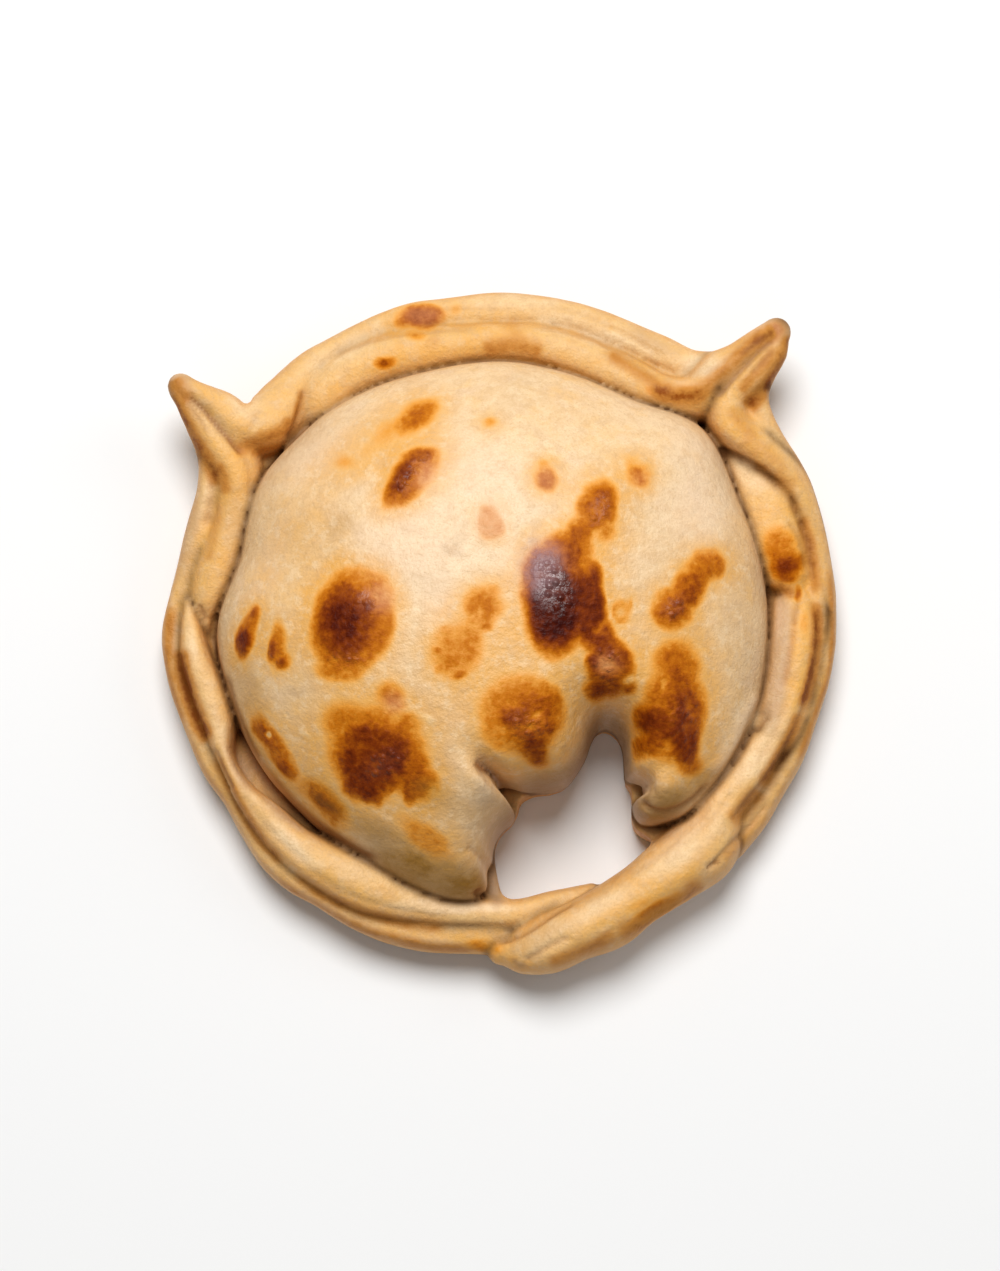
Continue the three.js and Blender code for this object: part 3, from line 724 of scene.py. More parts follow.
# Baking marks: middle x, y and half sizes where they show, turn in degrees
# (a tall one leans left when it is above 0), how dark from 0 to 1, and how wide
# the soft edge is, in px.
DOME_MARKS = [
    # the large blister, its upper lobe and its tail
    (560, 598, 39, 56, 0, 0.72, 10), (566, 553, 30, 24, 25, 0.66, 10), (555, 606, 31, 50, 0, 0.98, 12), (557, 618, 28, 25, 0, 1.0, 9),
    (578, 602, 16, 38, 4, 0.84, 10), (548, 575, 24, 27, 0, 0.90, 12), (588, 604, 17, 44, 0, 0.86, 8), (579, 534, 16, 20, -20, 0.62, 8),
    (597, 506, 21, 28, -12, 0.66, 9), (608, 508, 11, 20, 8, 0.62, 7), (594, 492, 12, 12, 0, 0.58, 7), (606, 532, 13, 13, 0, 0.48, 8),
    (601, 642, 17, 28, 18, 0.74, 8), (610, 668, 25, 31, 8, 0.68, 8), (620, 658, 13, 13, 0, 0.78, 7),
    (597, 688, 13, 14, 0, 0.80, 8), (629, 669, 9, 10, 0, 0.64, 5), (628, 687, 11, 10, 0, 0.62, 7), (594, 664, 9, 15, 0, 0.76, 6),
    # small ones round it
    (545, 480, 13, 14, 25, 0.54, 7), (543, 466, 8, 6, 0, 0.44, 6), (638, 475, 13, 13, 40, 0.52, 8),
    (641, 482, 9, 8, 0, 0.54, 6), (631, 464, 10, 9, 0, 0.36, 7), (491, 525, 16, 19, 0, 0.37, 4), (488, 511, 12, 6, 0, 0.42, 5),
    (502, 528, 5, 13, 0, 0.40, 5), (480, 520, 4, 10, 0, 0.38, 4), (491, 538, 10, 5, 0, 0.38, 4), (490, 423, 8, 6, 0, 0.46, 6),
    (622, 609, 12, 14, 0, 0.42, 5), (613, 610, 5, 10, 0, 0.46, 4), (622, 620, 10, 5, 0, 0.46, 4), (631, 604, 4, 9, 0, 0.42, 4),
    # the curled one to the right
    (672, 609, 21, 22, 0, 0.68, 8), (678, 608, 12, 18, -10, 0.75, 7), (690, 588, 18, 26, -28, 0.64, 8), (688, 594, 9, 18, -28, 0.74, 5),
    (705, 566, 24, 18, 15, 0.56, 8), (716, 567, 13, 13, 0, 0.58, 7), (708, 559, 14, 6, 10, 0.62, 5),
    # upper left
    (414, 417, 26, 15, 38, 0.58, 11), (428, 406, 11, 9, 0, 0.54, 7), (388, 433, 24, 14, 35, 0.36, 12), (346, 461, 15, 11, 0, 0.36, 9),
    (366, 449, 20, 12, 30, 0.28, 12),
    (411, 477, 38, 20, 48, 0.60, 9), (401, 480, 30, 12, 58, 0.78, 8), (420, 457, 20, 11, 14, 0.68, 7), (402, 497, 8, 10, 0, 0.70, 6),
    # the large round one at the left
    (352, 621, 43, 57, -14, 0.56, 8), (348, 620, 34, 47, -12, 0.74, 10), (345, 622, 26, 37, -10, 0.88, 12),
    (345, 598, 17, 24, -10, 0.72, 9), (366, 606, 13, 9, 0, 0.76, 7), (340, 668, 26, 14, 0, 0.54, 9), (378, 598, 17, 26, 0, 0.56, 8),
    # two slim ones
    (248, 633, 8, 27, -12, 0.60, 8), (245, 641, 8, 17, -8, 0.86, 7), (255, 615, 6, 11, -14, 0.68, 5),
    (278, 645, 9, 25, 0, 0.58, 8), (274, 648, 5, 15, -4, 0.80, 6), (282, 662, 8, 9, 0, 0.76, 6),
    # the speckled one in the middle
    (484, 608, 21, 24, -30, 0.50, 10), (489, 604, 10, 16, -10, 0.50, 8), (486, 626, 11, 6, 0, 0.54, 5), (474, 638, 14, 13, 30, 0.46, 7),
    (458, 650, 29, 34, -24, 0.46, 12), (439, 651, 6, 5, 0, 0.66, 5), (466, 636, 22, 24, -30, 0.40, 12), (444, 629, 5, 4, 0, 0.50, 4), (460, 675, 10, 6, 20, 0.68, 6),
    (450, 664, 9, 10, 0, 0.54, 6), (468, 652, 10, 13, 0, 0.50, 7), (441, 668, 8, 8, 0, 0.50, 6), (470, 620, 8, 6, 0, 0.45, 5),
    (494, 590, 11, 8, 0, 0.42, 6), (445, 640, 8, 7, 0, 0.42, 5),
    # lower left, with its fingers
    (378, 752, 54, 50, -6, 0.54, 13), (345, 722, 24, 24, 0, 0.52, 13), (374, 758, 40, 42, 0, 0.82, 13), (398, 726, 26, 16, 0, 0.62, 11),
    (398, 748, 21, 29, 0, 0.76, 12), (366, 784, 24, 18, 0, 0.84, 9), (352, 738, 18, 18, 0, 0.70, 12), (418, 783, 22, 20, 0, 0.64, 8),
    (356, 790, 9, 16, 0, 0.58, 7), (377, 792, 9, 15, 0, 0.64, 6), (410, 790, 9, 17, 0, 0.64, 6), (427, 790, 8, 15, -10, 0.60, 6), (412, 768, 22, 22, 0, 0.64, 9),
    (390, 695, 17, 15, 0, 0.50, 9), (400, 704, 8, 6, 0, 0.50, 6), (388, 716, 20, 12, 0, 0.50, 8),
    # the star above the gap
    (519, 714, 46, 44, 0, 0.50, 13), (534, 720, 30, 38, -8, 0.66, 12), (512, 718, 24, 14, -10, 0.76, 9), (532, 742, 18, 18, 0, 0.74, 9), (530, 736, 18, 12, -45, 0.74, 8),
    (538, 752, 13, 16, 0, 0.72, 8), (553, 704, 14, 22, 0, 0.60, 9), (520, 696, 9, 16, -25, 0.58, 7), (498, 702, 16, 11, 20, 0.54, 8),
    (538, 704, 18, 8, 10, 0.66, 6), (545, 728, 18, 9, 0, 0.68, 6), (545, 690, 8, 13, 20, 0.58, 6),
    # the tall one right of the gap
    (677, 664, 26, 28, 0, 0.56, 13), (673, 714, 35, 53, -6, 0.60, 11), (678, 696, 20, 38, 0, 0.68, 10), (654, 720, 21, 20, 0, 0.80, 10),
    (683, 736, 19, 36, 6, 0.77, 9), (692, 716, 11, 32, 0, 0.66, 7), (657, 690, 8, 14, -25, 0.62, 6), (688, 764, 17, 14, 0, 0.56, 9),
    (654, 742, 24, 16, 30, 0.70, 9), (680, 716, 8, 34, 0, 0.78, 6), (664, 736, 16, 16, 0, 0.70, 9),
    # along the lower left, by the border
    (277, 749, 11, 44, 33, 0.55, 11), (265, 735, 7, 20, 32, 0.72, 8), (286, 766, 7, 18, 34, 0.74, 8), (326, 802, 13, 34, 42, 0.60, 11),
    (325, 801, 9, 24, 42, 0.80, 9), (310, 790, 20, 12, -30, 0.42, 10), (337, 818, 9, 10, 38, 0.58, 6),
    # ochre under the lower left one
    (426, 838, 38, 16, -36, 0.42, 11), (402, 815, 14, 8, 0, 0.30, 8),
]
# Places inside the marks that are lighter: same numbers, then how much is taken off. Most are where the skin stayed
# lighter; those at (424, 478) and (382, 594) are painted highlight.
DOME_LIGHTER = [
    (591, 515, 7, 7, 0, 0.08, 5), (606, 664, 9, 6, 0, 0.24, 5), (597, 628, 5, 5, 0, 0.18, 4), (627, 679, 6, 5, 0, 0.34, 4),
    (584, 548, 4, 12, 0, 0.10, 4), (587, 572, 3, 6, 0, 0.18, 3), (663, 600, 8, 8, 0, 0.16, 5),
    (424, 478, 8, 13, -35, 0.12, 6), (362, 583, 8, 10, 0, 0.14, 6), (382, 594, 10, 12, 20, 0.14, 6),
    (393, 804, 4, 9, 0, 0.36, 4), (430, 792, 5, 7, 0, 0.20, 4), (396, 718, 5, 6, 0, 0.16, 4), (394, 776, 4, 5, 0, 0.14, 3),
    (268, 736, 2.5, 2, -40, 0.7, 1.5), (663, 686, 3, 6, -25, 0.20, 3), (537, 714, 7, 3, 20, 0.20, 3), (528, 728, 5, 3, 0, 0.14, 3),
    (455, 635, 7, 6, 0, 0.08, 4), (480, 612, 4, 6, 0, 0.12, 3), (346, 671, 5, 4, 0, 0.12, 3),
    (668, 745, 5, 5, 0, 0.15, 4), (362, 748, 6, 4, 0, 0.10, 4), (622, 611, 4, 4, 0, 0.20, 4),
]
# Golden baking without a mark: middle, half sizes, turn, strength, soft edge.
DOME_GOLD = [
    (300, 545, 40, 50, -30, 0.70, 26), (318, 500, 30, 40, -20, 0.35, 26), (262, 600, 14, 40, -10, 0.60, 18), (360, 452, 64, 22, 36, 0.70, 14),
    (470, 640, 50, 50, 20, 0.55, 20), (660, 590, 60, 50, 30, 0.30, 22), (604, 560, 26, 90, 0, 0.55, 16), (560, 600, 56, 70, 0, 0.65, 14),
    (375, 752, 68, 60, 0, 0.60, 16), (350, 618, 54, 68, -10, 0.60, 14), (520, 712, 60, 58, 0, 0.70, 16), (680, 705, 50, 74, 0, 0.70, 16),
    (430, 838, 40, 24, -30, 0.80, 14), (425, 800, 34, 22, 0, 0.45, 14), (500, 668, 30, 24, 0, 0.65, 16), (560, 670, 30, 22, 0, 0.50, 16),
    (450, 700, 24, 30, 0, 0.45, 18), (730, 640, 22, 60, 0, 0.25, 20), (630, 520, 20, 40, 0, 0.40, 16), (575, 410, 40, 20, 0, 0.25, 20),
    (640, 440, 26, 16, 0, 0.25, 16), (415, 460, 50, 44, 30, 0.45, 14), (255, 700, 12, 40, 25, 0.40, 12), (300, 735, 14, 30, 20, 0.45, 12),
    (580, 800, 40, 16, 0, 0.20, 14), (470, 750, 12, 30, 0, 0.15, 12), (675, 780, 40, 20, 0, 0.45, 14), (278, 645, 20, 34, 0, 0.55, 10),
    (490, 423, 14, 12, 0, 0.45, 10), (545, 476, 20, 20, 0, 0.45, 8), (634, 470, 22, 20, 0, 0.45, 8), (247, 632, 18, 36, -12, 0.5, 8),
    (430, 870, 50, 26, 20, 0.40, 16), (740, 560, 16, 50, 0, 0.40, 14), (660, 650, 40, 14, 20, 0.4, 12), (590, 720, 30, 16, 0, 0.35, 12),
    (395, 640, 14, 50, 0, 0.25, 16), (305, 735, 8, 6, -40, 0.9, 4), (690, 640, 18, 14, 0, 0.4, 10),
]
# Pinkish, paler skin: pink tones of the dough, and painted highlight where the blisters and the top of the dome catch
# the light, at (547, 567), (382, 598), (426, 478), (470, 470), (410, 545) and (700, 510).
DOME_PINK_AND_HIGHLIGHT = [
    (547, 567, 20, 20, 0, 0.40, 12), (545, 481, 11, 11, 0, 0.45, 6), (491, 522, 19, 21, 0, 0.60, 6), (640, 480, 9, 9, 0, 0.25, 7),
    (700, 510, 26, 30, 0, 0.40, 20), (520, 570, 14, 20, 0, 0.35, 16), (382, 598, 12, 12, 0, 0.45, 8), (426, 478, 8, 13, -35, 0.45, 6),
    (606, 664, 10, 7, 0, 0.45, 6), (315, 455, 34, 18, 40, 0.35, 18), (410, 545, 50, 34, 0, 0.35, 20), (470, 470, 40, 30, 0, 0.30, 24),
    (440, 600, 14, 20, 0, 0.3, 14), (270, 560, 12, 40, -20, 0.2, 16), (700, 445, 24, 26, 0, 0.3, 18), (395, 702, 10, 8, 0, 0.4, 6),
]
# Greyer, darker dough (middle, half sizes, turn, strength, soft edge): small grey smudges in the skin, and painted
# shade on the lower front of the dome, by the lobes and round the gap.
DOME_GREY_AND_SHADE = [
    (339, 525, 10, 15, -40, 1.0, 5), (452, 546, 12, 8, 30, 1.0, 5), (458, 553, 6, 5, 0, 0.9, 4), (300, 690, 20, 18, 0, 0.40, 14),
    (420, 580, 20, 16, 0, 0.25, 16), (440, 740, 14, 40, 25, 0.45, 16), (495, 815, 30, 30, 0, 0.70, 16), (560, 785, 50, 18, 6, 0.60, 12),
    (600, 745, 16, 26, 0, 0.50, 10), (480, 860, 24, 34, 0, 0.60, 16), (735, 600, 18, 50, 0, 0.35, 18), (640, 560, 14, 14, 0, 0.20, 14),
    (380, 840, 60, 22, -36, 0.60, 16), (650, 800, 24, 20, 0, 0.50, 10), (740, 680, 14, 40, 0, 0.30, 14), (430, 880, 60, 20, -12, 0.60, 14),
    (256, 740, 14, 60, 26, 0.50, 12), (470, 780, 16, 20, 40, 0.50, 10), (680, 790, 40, 14, 34, 0.50, 10), (660, 830, 20, 14, 20, 0.60, 10),
    (225, 600, 8, 50, 0, 0.30, 10), (310, 830, 50, 12, -40, 0.50, 10), (430, 868, 60, 24, -14, 0.55, 14),
    (655, 806, 26, 16, 10, 0.45, 10), (250, 690, 16, 30, 20, 0.45, 12),
]
# Paler, pinker dough in broad patches on the top and right of the dome, where the lamp's highlight falls: painted
# highlight. Middle, half sizes, turn, strength, soft edge.
DOME_PAINTED_HIGHLIGHT = [
    (450, 520, 110, 90, -20, 0.85, 60), (500, 470, 90, 60, 0, 0.6, 50), (690, 500, 44, 60, 20, 0.7, 34), (420, 610, 50, 60, 0, 0.6, 36),
    (645, 555, 26, 36, 0, 0.85, 22), (640, 420, 60, 40, -20, 0.4, 36), (395, 400, 60, 24, 30, 0.4, 26), (440, 720, 16, 40, 20, 0.5, 16),
    (320, 500, 30, 30, 0, 0.4, 24), (725, 620, 16, 60, 0, 0.4, 16), (484, 776, 12, 12, 0, 0.6, 8),
]
# Browner, darker colour low down on the front of the dome, turned away from the light: painted shade.
DOME_PAINTED_SHADE = [
    (430, 874, 62, 18, -14, 0.75, 12), (392, 844, 50, 13, -36, 0.60, 12), (465, 884, 22, 18, 0, 0.45, 10), (655, 808, 32, 18, 10, 0.60, 10),
    (440, 800, 24, 14, -30, 0.50, 12), (250, 690, 12, 30, 20, 0.40, 12), (690, 790, 30, 13, 34, 0.50, 10), (330, 800, 12, 34, 40, 0.35, 10),
    (560, 782, 42, 14, 6, 0.45, 10), (512, 812, 10, 20, 0, 0.45, 8), (640, 830, 20, 12, -20, 0.5, 8),
]
# Marks of the border, with the same numbers. The dark one at (480, 946), under the lip at the front, is painted shade.
RIM_MARKS = [
    (423, 316, 24, 13, 4, 0.60, 6), (404, 320, 12, 9, 0, 0.54, 6), (415, 335, 14, 8, 0, 0.42, 7), (455, 309, 7, 8, 0, 0.36, 6),
    (385, 364, 13, 7, 10, 0.52, 4), (385, 364, 7, 3, 10, 0.86, 3), (512, 338, 28, 16, 0, 0.26, 12), (440, 352, 46, 10, 5, 0.22, 10),
    (655, 391, 11, 6, -30, 0.46, 6), (690, 394, 22, 7, 0, 0.56, 7), (740, 402, 12, 9, 40, 0.20, 8), (774, 332, 13, 10, 30, 0.58, 9),
    (780, 545, 21, 20, -20, 0.50, 11), (788, 565, 18, 15, 10, 0.84, 10), (776, 553, 11, 9, -30, 0.60, 8), (788, 577, 13, 8, 0, 0.70, 8), (808, 545, 10, 40, 10, 0.26, 10),
    (799, 593, 4, 7, 0, 0.74, 5), (656, 911, 34, 9, 32, 0.66, 10), (640, 904, 20, 8, 24, 0.34, 9), (480, 946, 16, 7, 0, 0.50, 8),
    (178, 390, 11, 14, 20, 0.34, 9), (232, 478, 10, 12, 0, 0.24, 9), (214, 530, 12, 26, -10, 0.22, 12),
    (497, 948, 10, 8, 30, 0.42, 7), (512, 960, 12, 9, 0, 0.30, 9), (236, 455, 10, 12, 0, 0.26, 9), (210, 600, 12, 14, 0, 0.22, 9),
    (700, 812, 14, 6, 45, 0.24, 8), (572, 330, 10, 6, 0, 0.22, 6), (340, 398, 12, 6, 40, 0.24, 7), (806, 622, 7, 16, 0, 0.34, 6),
]
# Brown along the ridges of the border, and painted shade in its hollows and on its sides turned away from the light:
# where they show, half width in px, how dark.
RIM_BROWN_AND_SHADE = [
    ([(694, 392), (716, 380), (738, 357), (756, 340), (774, 327)], 8, 0.50), ([(700, 396), (712, 398), (722, 394)], 7, 0.2),
    ([(752, 344), (764, 336), (776, 329)], 8, 0.60), ([(790, 330), (787, 350), (774, 374), (760, 394), (742, 410)], 8, 0.66),
    ([(650, 387), (668, 394), (688, 397), (708, 390)], 8, 0.74), ([(604, 352), (630, 367), (655, 384), (680, 396)], 6, 0.42),
    ([(736, 436), (755, 446), (778, 466), (796, 496)], 10, 0.24), ([(750, 462), (770, 474), (788, 492), (800, 520)], 5, 0.36),
    ([(800, 512), (809, 542), (814, 572), (817, 598)], 6, 0.52), ([(768, 588), (782, 588), (796, 594)], 6, 0.46),
    ([(814, 596), (817, 626), (815, 655), (809, 685), (800, 712)], 5, 0.80), ([(801, 708), (790, 738), (775, 764), (758, 790)], 6, 0.54),
    ([(760, 788), (748, 804), (730, 824)], 9, 0.46), ([(828, 560), (832, 620), (830, 670), (815, 716), (795, 770)], 4, 0.40),
    ([(792, 600), (794, 625), (790, 655), (784, 690)], 4, 0.22),
    ([(172, 378), (180, 392), (188, 404)], 9, 0.50), ([(170, 388), (182, 418), (198, 446), (212, 468), (221, 490)], 8, 0.64),
    ([(216, 462), (224, 477), (226, 496)], 6, 0.50), ([(778, 346), (764, 364), (748, 382), (738, 394)], 6, 0.42), ([(728, 406), (742, 424), (758, 440)], 7, 0.26), ([(236, 456), (246, 446), (262, 438), (282, 431), (294, 414)], 7, 0.46),
    ([(250, 447), (264, 451), (282, 446)], 7, 0.5), ([(222, 500), (216, 530), (206, 566)], 5, 0.24),
    ([(174, 600), (168, 636), (171, 690), (184, 730)], 6, 0.46), ([(179, 645), (185, 680), (195, 712), (209, 745)], 7, 0.84),
    ([(186, 740), (200, 770), (222, 806)], 5, 0.34), ([(214, 752), (232, 790), (258, 836), (288, 868)], 5, 0.52),
    ([(290, 872), (326, 896), (368, 913), (410, 924), (455, 929)], 5, 0.50), ([(262, 872), (300, 898), (340, 920), (390, 938), (440, 948), (490, 950)], 6, 0.40),
    ([(612, 936), (642, 926), (676, 906), (706, 880)], 10, 0.50), ([(545, 966), (585, 950), (620, 932)], 7, 0.42),
    ([(722, 862), (742, 842), (764, 812)], 4, 0.22), ([(600, 350), (640, 372)], 4, 0.2),
    ([(258, 470), (262, 500), (255, 540), (243, 580)], 5, 0.34), ([(302, 388), (298, 408), (290, 430)], 4, 0.42),
    ([(330, 404), (370, 391), (410, 381), (455, 371), (500, 362), (545, 366), (590, 381), (640, 405), (682, 418)], 6, 0.42),
    ([(480, 352), (502, 346), (522, 346), (545, 353)], 9, 0.42), ([(506, 320), (514, 330), (520, 342)], 9, 0.22), ([(426, 338), (440, 346)], 10, 0.2),
]
RIM_GOLD = [
    (660, 358, 40, 16, -25, 0.15, 10), (635, 366, 34, 10, -32, 0.70, 8), (560, 356, 44, 12, -8, 0.35, 10), (440, 354, 54, 14, 6, 0.60, 10),
    (360, 374, 44, 14, 24, 0.45, 10), (280, 405, 16, 26, -20, 0.60, 10), (215, 405, 26, 12, -45, 0.65, 10), (235, 485, 14, 36, 0, 0.70, 10),
    (212, 545, 14, 44, -12, 0.50, 10), (750, 440, 38, 16, -42, 0.70, 10), (800, 510, 12, 40, 16, 0.50, 10), (768, 520, 18, 22, 0, 0.30, 12),
    (802, 650, 12, 62, -4, 0.80, 8), (792, 716, 10, 30, -22, 0.65, 8), (640, 897, 54, 14, 32, 0.30, 10), (570, 946, 46, 12, 24, 0.55, 10),
    (300, 888, 34, 10, -38, 0.70, 8), (172, 630, 8, 60, 0, 0.50, 7), (756, 372, 14, 30, -42, 0.75, 8), (726, 396, 10, 12, 0, 0.3, 8), (738, 424, 14, 16, 0, 0.60, 8), (784, 692, 8, 24, -8, 0.7, 6),
    (735, 808, 14, 14, 0, 0.35, 8), (340, 890, 54, 12, -30, 0.55, 10), (270, 845, 34, 8, -48, 0.60, 8), (420, 935, 64, 8, -4, 0.80, 8),
    (185, 700, 8, 50, 16, 0.55, 8), (225, 790, 8, 34, 32, 0.50, 8), (740, 352, 28, 12, 38, 0.60, 8), (330, 345, 32, 8, 28, 0.30, 10),
    (735, 850, 22, 10, 42, 0.60, 8), (820, 620, 8, 60, 0, 0.5, 8), (815, 700, 8, 40, -18, 0.55, 8), (790, 770, 10, 40, -34, 0.5, 8),
    (380, 895, 50, 12, -16, 0.3, 12), (190, 590, 10, 40, -8, 0.3, 10), (500, 312, 60, 12, 0, 0.20, 10), (515, 338, 30, 14, 0, 0.45, 10), (260, 436, 30, 10, 8, 0.7, 8),
]
# Greyer, darker dough of the border: painted shade on the right roll's flank turned from the light and in the recesses
# at the lower left, and greyer skin at the horn tips.
RIM_GREY_AND_SHADE = [
    (778, 650, 11, 60, -3, 0.95, 7), (771, 700, 11, 26, -8, 0.85, 7), (788, 614, 8, 16, 0, 0.5, 6), (776, 588, 14, 9, 0, 0.7, 6), (496, 878, 9, 24, 0, 0.8, 6), (173, 386, 14, 17, 20, 0.75, 9), (186, 408, 12, 20, 30, 0.35, 9),
    (782, 326, 10, 12, 30, 0.50, 8), (650, 342, 24, 7, -28, 0.45, 7), (190, 530, 8, 50, -8, 0.60, 7), (240, 768, 8, 24, 24, 0.85, 7), (284, 812, 30, 8, -40, 0.70, 6), (236, 520, 12, 30, -8, 0.30, 10),
    (740, 452, 20, 8, -38, 0.35, 7), (700, 372, 12, 6, 20, 0.25, 6), (764, 790, 8, 30, -40, 0.4, 8), (540, 935, 30, 8, 28, 0.30, 8),
]
# Paler dough along the tops of the border's bands, with the same numbers.
RIM_PALE = [
    (704, 366, 22, 13, 0, 0.90, 8), (596, 336, 66, 9, -20, 0.60, 8), (470, 300, 130, 7, 0, 0.50, 6), (742, 474, 18, 12, -34, 0.60, 8),
    (782, 724, 15, 9, 40, 0.80, 7), (754, 758, 24, 14, 50, 0.50, 10), (243, 398, 14, 15, 0, 0.70, 8), (206, 506, 7, 24, -10, 0.50, 6),
    (292, 846, 28, 9, -42, 0.85, 7), (228, 748, 8, 36, 22, 0.50, 7), (450, 906, 70, 7, 0, 0.60, 6), (690, 845, 46, 10, 42, 0.40, 9),
    (340, 352, 40, 10, 28, 0.4, 9), (600, 906, 36, 8, 30, 0.5, 8), (545, 950, 30, 8, 24, 0.5, 8), (192, 640, 6, 34, 4, 0.5, 5),
]
# Places where the bands lie on each other without the painted shade line of a crevice.
SEAM_FADE = [
    (470, 392, 170, 44, 0, 0.25, 14), (824, 548, 8, 70, 10, 0.95, 5), (812, 492, 10, 34, 28, 0.9, 6),
    (594, 892, 36, 12, 25, 1.0, 8), (204, 500, 14, 46, 0, 0.9, 8), (758, 412, 16, 18, 0, 0.9, 7), (785, 708, 24, 9, 0, 0.8, 7),
    (812, 620, 12, 60, 0, 0.9, 8), (764, 722, 11, 8, 0, 0.75, 5), (806, 560, 12, 40, 0, 0.6, 8),
]
RIM_PINK = [
    (423, 316, 20, 9, 0, 0.45, 6), (690, 386, 26, 5, 0, 0.35, 6), (770, 332, 18, 13, 0, 0.65, 8), (175, 386, 12, 13, 20, 0.6, 8),
    (776, 615, 6, 20, 0, 0.30, 8), (172, 640, 6, 34, 0, 0.35, 8), (765, 480, 10, 8, 0, 0.30, 8), 
    (690, 820, 40, 10, 45, 0.30, 10), (460, 905, 40, 8, 0, 0.25, 10),
]


def spot(x, y, rx, ry, turn, edge):
    """1 inside the shape, 0 outside, with an edge of that many px."""
    t = math.radians(turn)
    dx, dy = WX - x, WY - y
    u = (dx * math.cos(t) - dy * math.sin(t)) / rx
    v = (dx * math.sin(t) + dy * math.cos(t)) / ry
    r = np.hypot(u, v)
    off = (r - 1) * math.sqrt(rx * ry)
    return 1 - smooth(-1.3 * edge, 1.3 * edge, off)


def darkest(table, k=0.08):
    """Marks laid over each other, the darker one showing."""
    out = np.zeros(len(verts))
    for x, y, rx, ry, turn, dark, edge in table:
        out = -join(-out, -dark * spot(x, y, rx, ry, turn, 1.15 * edge), k)
    return out - out.min()


def halo(table):
    """Golden skin round the marks, fading out."""
    left = np.ones(len(verts))
    for x, y, rx, ry, turn, dark, edge in table:
        left *= 1 - min(0.9, 1.1 * dark) * spot(x, y, rx + 1.3 * edge, ry + 1.3 * edge, turn, 1.25 * edge)
    return 1 - left


def layered(table):
    left = np.ones(len(verts))
    for x, y, rx, ry, turn, strength, edge in table:
        left *= 1 - strength * spot(x, y, rx, ry, turn, edge)
    return 1 - left


bake_dome = darkest(DOME_MARKS)
for x, y, rx, ry, turn, less, edge in DOME_LIGHTER:
    bake_dome -= less * spot(x, y, rx, ry, turn, edge) * smooth(0.15, 0.4, bake_dome)
bake_rim = darkest(RIM_MARKS)
# browning along the border's ridges, and painted shade in its hollows and low on the front of the dome
tan_and_shade = np.zeros(len(verts))
for points, wide, dark in RIM_BROWN_AND_SHADE:
    tan_and_shade = np.maximum(tan_and_shade, 1.25 * dark * stroke(points, 1.1 * wide)[0])
tan_and_shade = 0.4 * tan_and_shade + 0.6 * around(tan_and_shade)
tan_and_shade = (tan_and_shade * on_rim + layered(DOME_PAINTED_SHADE) * (1 - on_rim)) * seen
bake = (bake_dome * (1 - on_rim) + bake_rim * on_rim) * seen
gold = (layered(DOME_GOLD) * (1 - on_rim) + layered(RIM_GOLD) * on_rim) * seen
gold = np.maximum(gold, line_gold)
amber = (halo(DOME_MARKS) * (1 - on_rim) + halo(RIM_MARKS) * on_rim) * seen
pink_and_highlight = np.maximum((layered(DOME_PINK_AND_HIGHLIGHT) * (1 - on_rim) + layered(RIM_PINK) * on_rim) * seen, line_pink)
grey_and_shade = (layered(DOME_GREY_AND_SHADE) * (1 - on_rim) + layered(RIM_GREY_AND_SHADE) * on_rim) * seen
seam_shade *= 1 - layered(SEAM_FADE) * seen
# painted highlight: purple-grey sheen on the large blister, which is also made a little more glossy
painted_sheen = spot(541, 569, 17, 26, 4, 11) * (1 - on_rim) * seen
under = smooth(0.2, 0.8, -normal[:, 2])
gloss = layered([(374, 594, 13, 14, 0, 0.9, 6), (420, 470, 17, 9, 40, 0.8, 5), (402, 484, 8, 8, 0, 0.6, 5), (556, 586, 16, 24, 10, 0.7, 8),
                 (608, 664, 12, 12, 0, 0.8, 6), (600, 512, 10, 18, 0, 0.7, 6), (674, 608, 9, 14, -20, 0.6, 5), (384, 764, 20, 12, 30, 0.6, 8),
                 (528, 724, 18, 12, 0, 0.6, 7), (350, 660, 22, 10, 0, 0.4, 7), (684, 716, 12, 24, 0, 0.3, 8), (276, 648, 5, 12, 0, 0.5, 4)])
gloss *= (1 - on_rim) * seen
foot = smooth(6.5, 0.5, verts[:, 2]) * smooth(0.7, 0.2, normal[:, 2]) * on_rim
pale_and_highlight = (layered(DOME_PAINTED_HIGHLIGHT) * (1 - on_rim) + layered(RIM_PALE) * on_rim) * seen
# painted shade: the walls of the gap and the dough at its front edge, darkened brown
gap_wall_shade = smooth(2.6, 0.2, gap_distance(verts[:, 0], verts[:, 1])) * (1 - on_rim)
gap_wall_shade = np.maximum(gap_wall_shade, spot(496, 880, 9, 22, 0, 5) * on_rim)

# raised skin over the burnt blisters, with small bubbles in it, and the pale flakes
blister = smooth(0.35, 0.75, bake_dome) * (1 - on_rim) * seen
push += 0.30 * blister + 0.085 * blister * scatter_noise(21, verts, 1.5)
for x, y, rx, ry, high in ((560, 600, 34, 50, 0.7), (350, 620, 36, 48, 0.5), (412, 478, 22, 22, 0.4), (608, 668, 20, 28, 0.4),
                           (372, 760, 40, 36, 0.3), (672, 715, 26, 44, 0.3), (600, 505, 18, 26, 0.3), (628, 679, 9, 9, 0.3),
                           (492, 525, 14, 16, 0.2), (675, 612, 16, 18, 0.3), (706, 567, 16, 13, 0.3), (248, 633, 7, 24, 0.2)):
    push += high * np.exp(-((PX - x) / rx) ** 2 - ((PY - y) / ry) ** 2) * (1 - on_rim) * seen
push += 0.045 * scatter_noise(23, verts, 2.2) * smooth(1.0, 4.0, verts[:, 2])
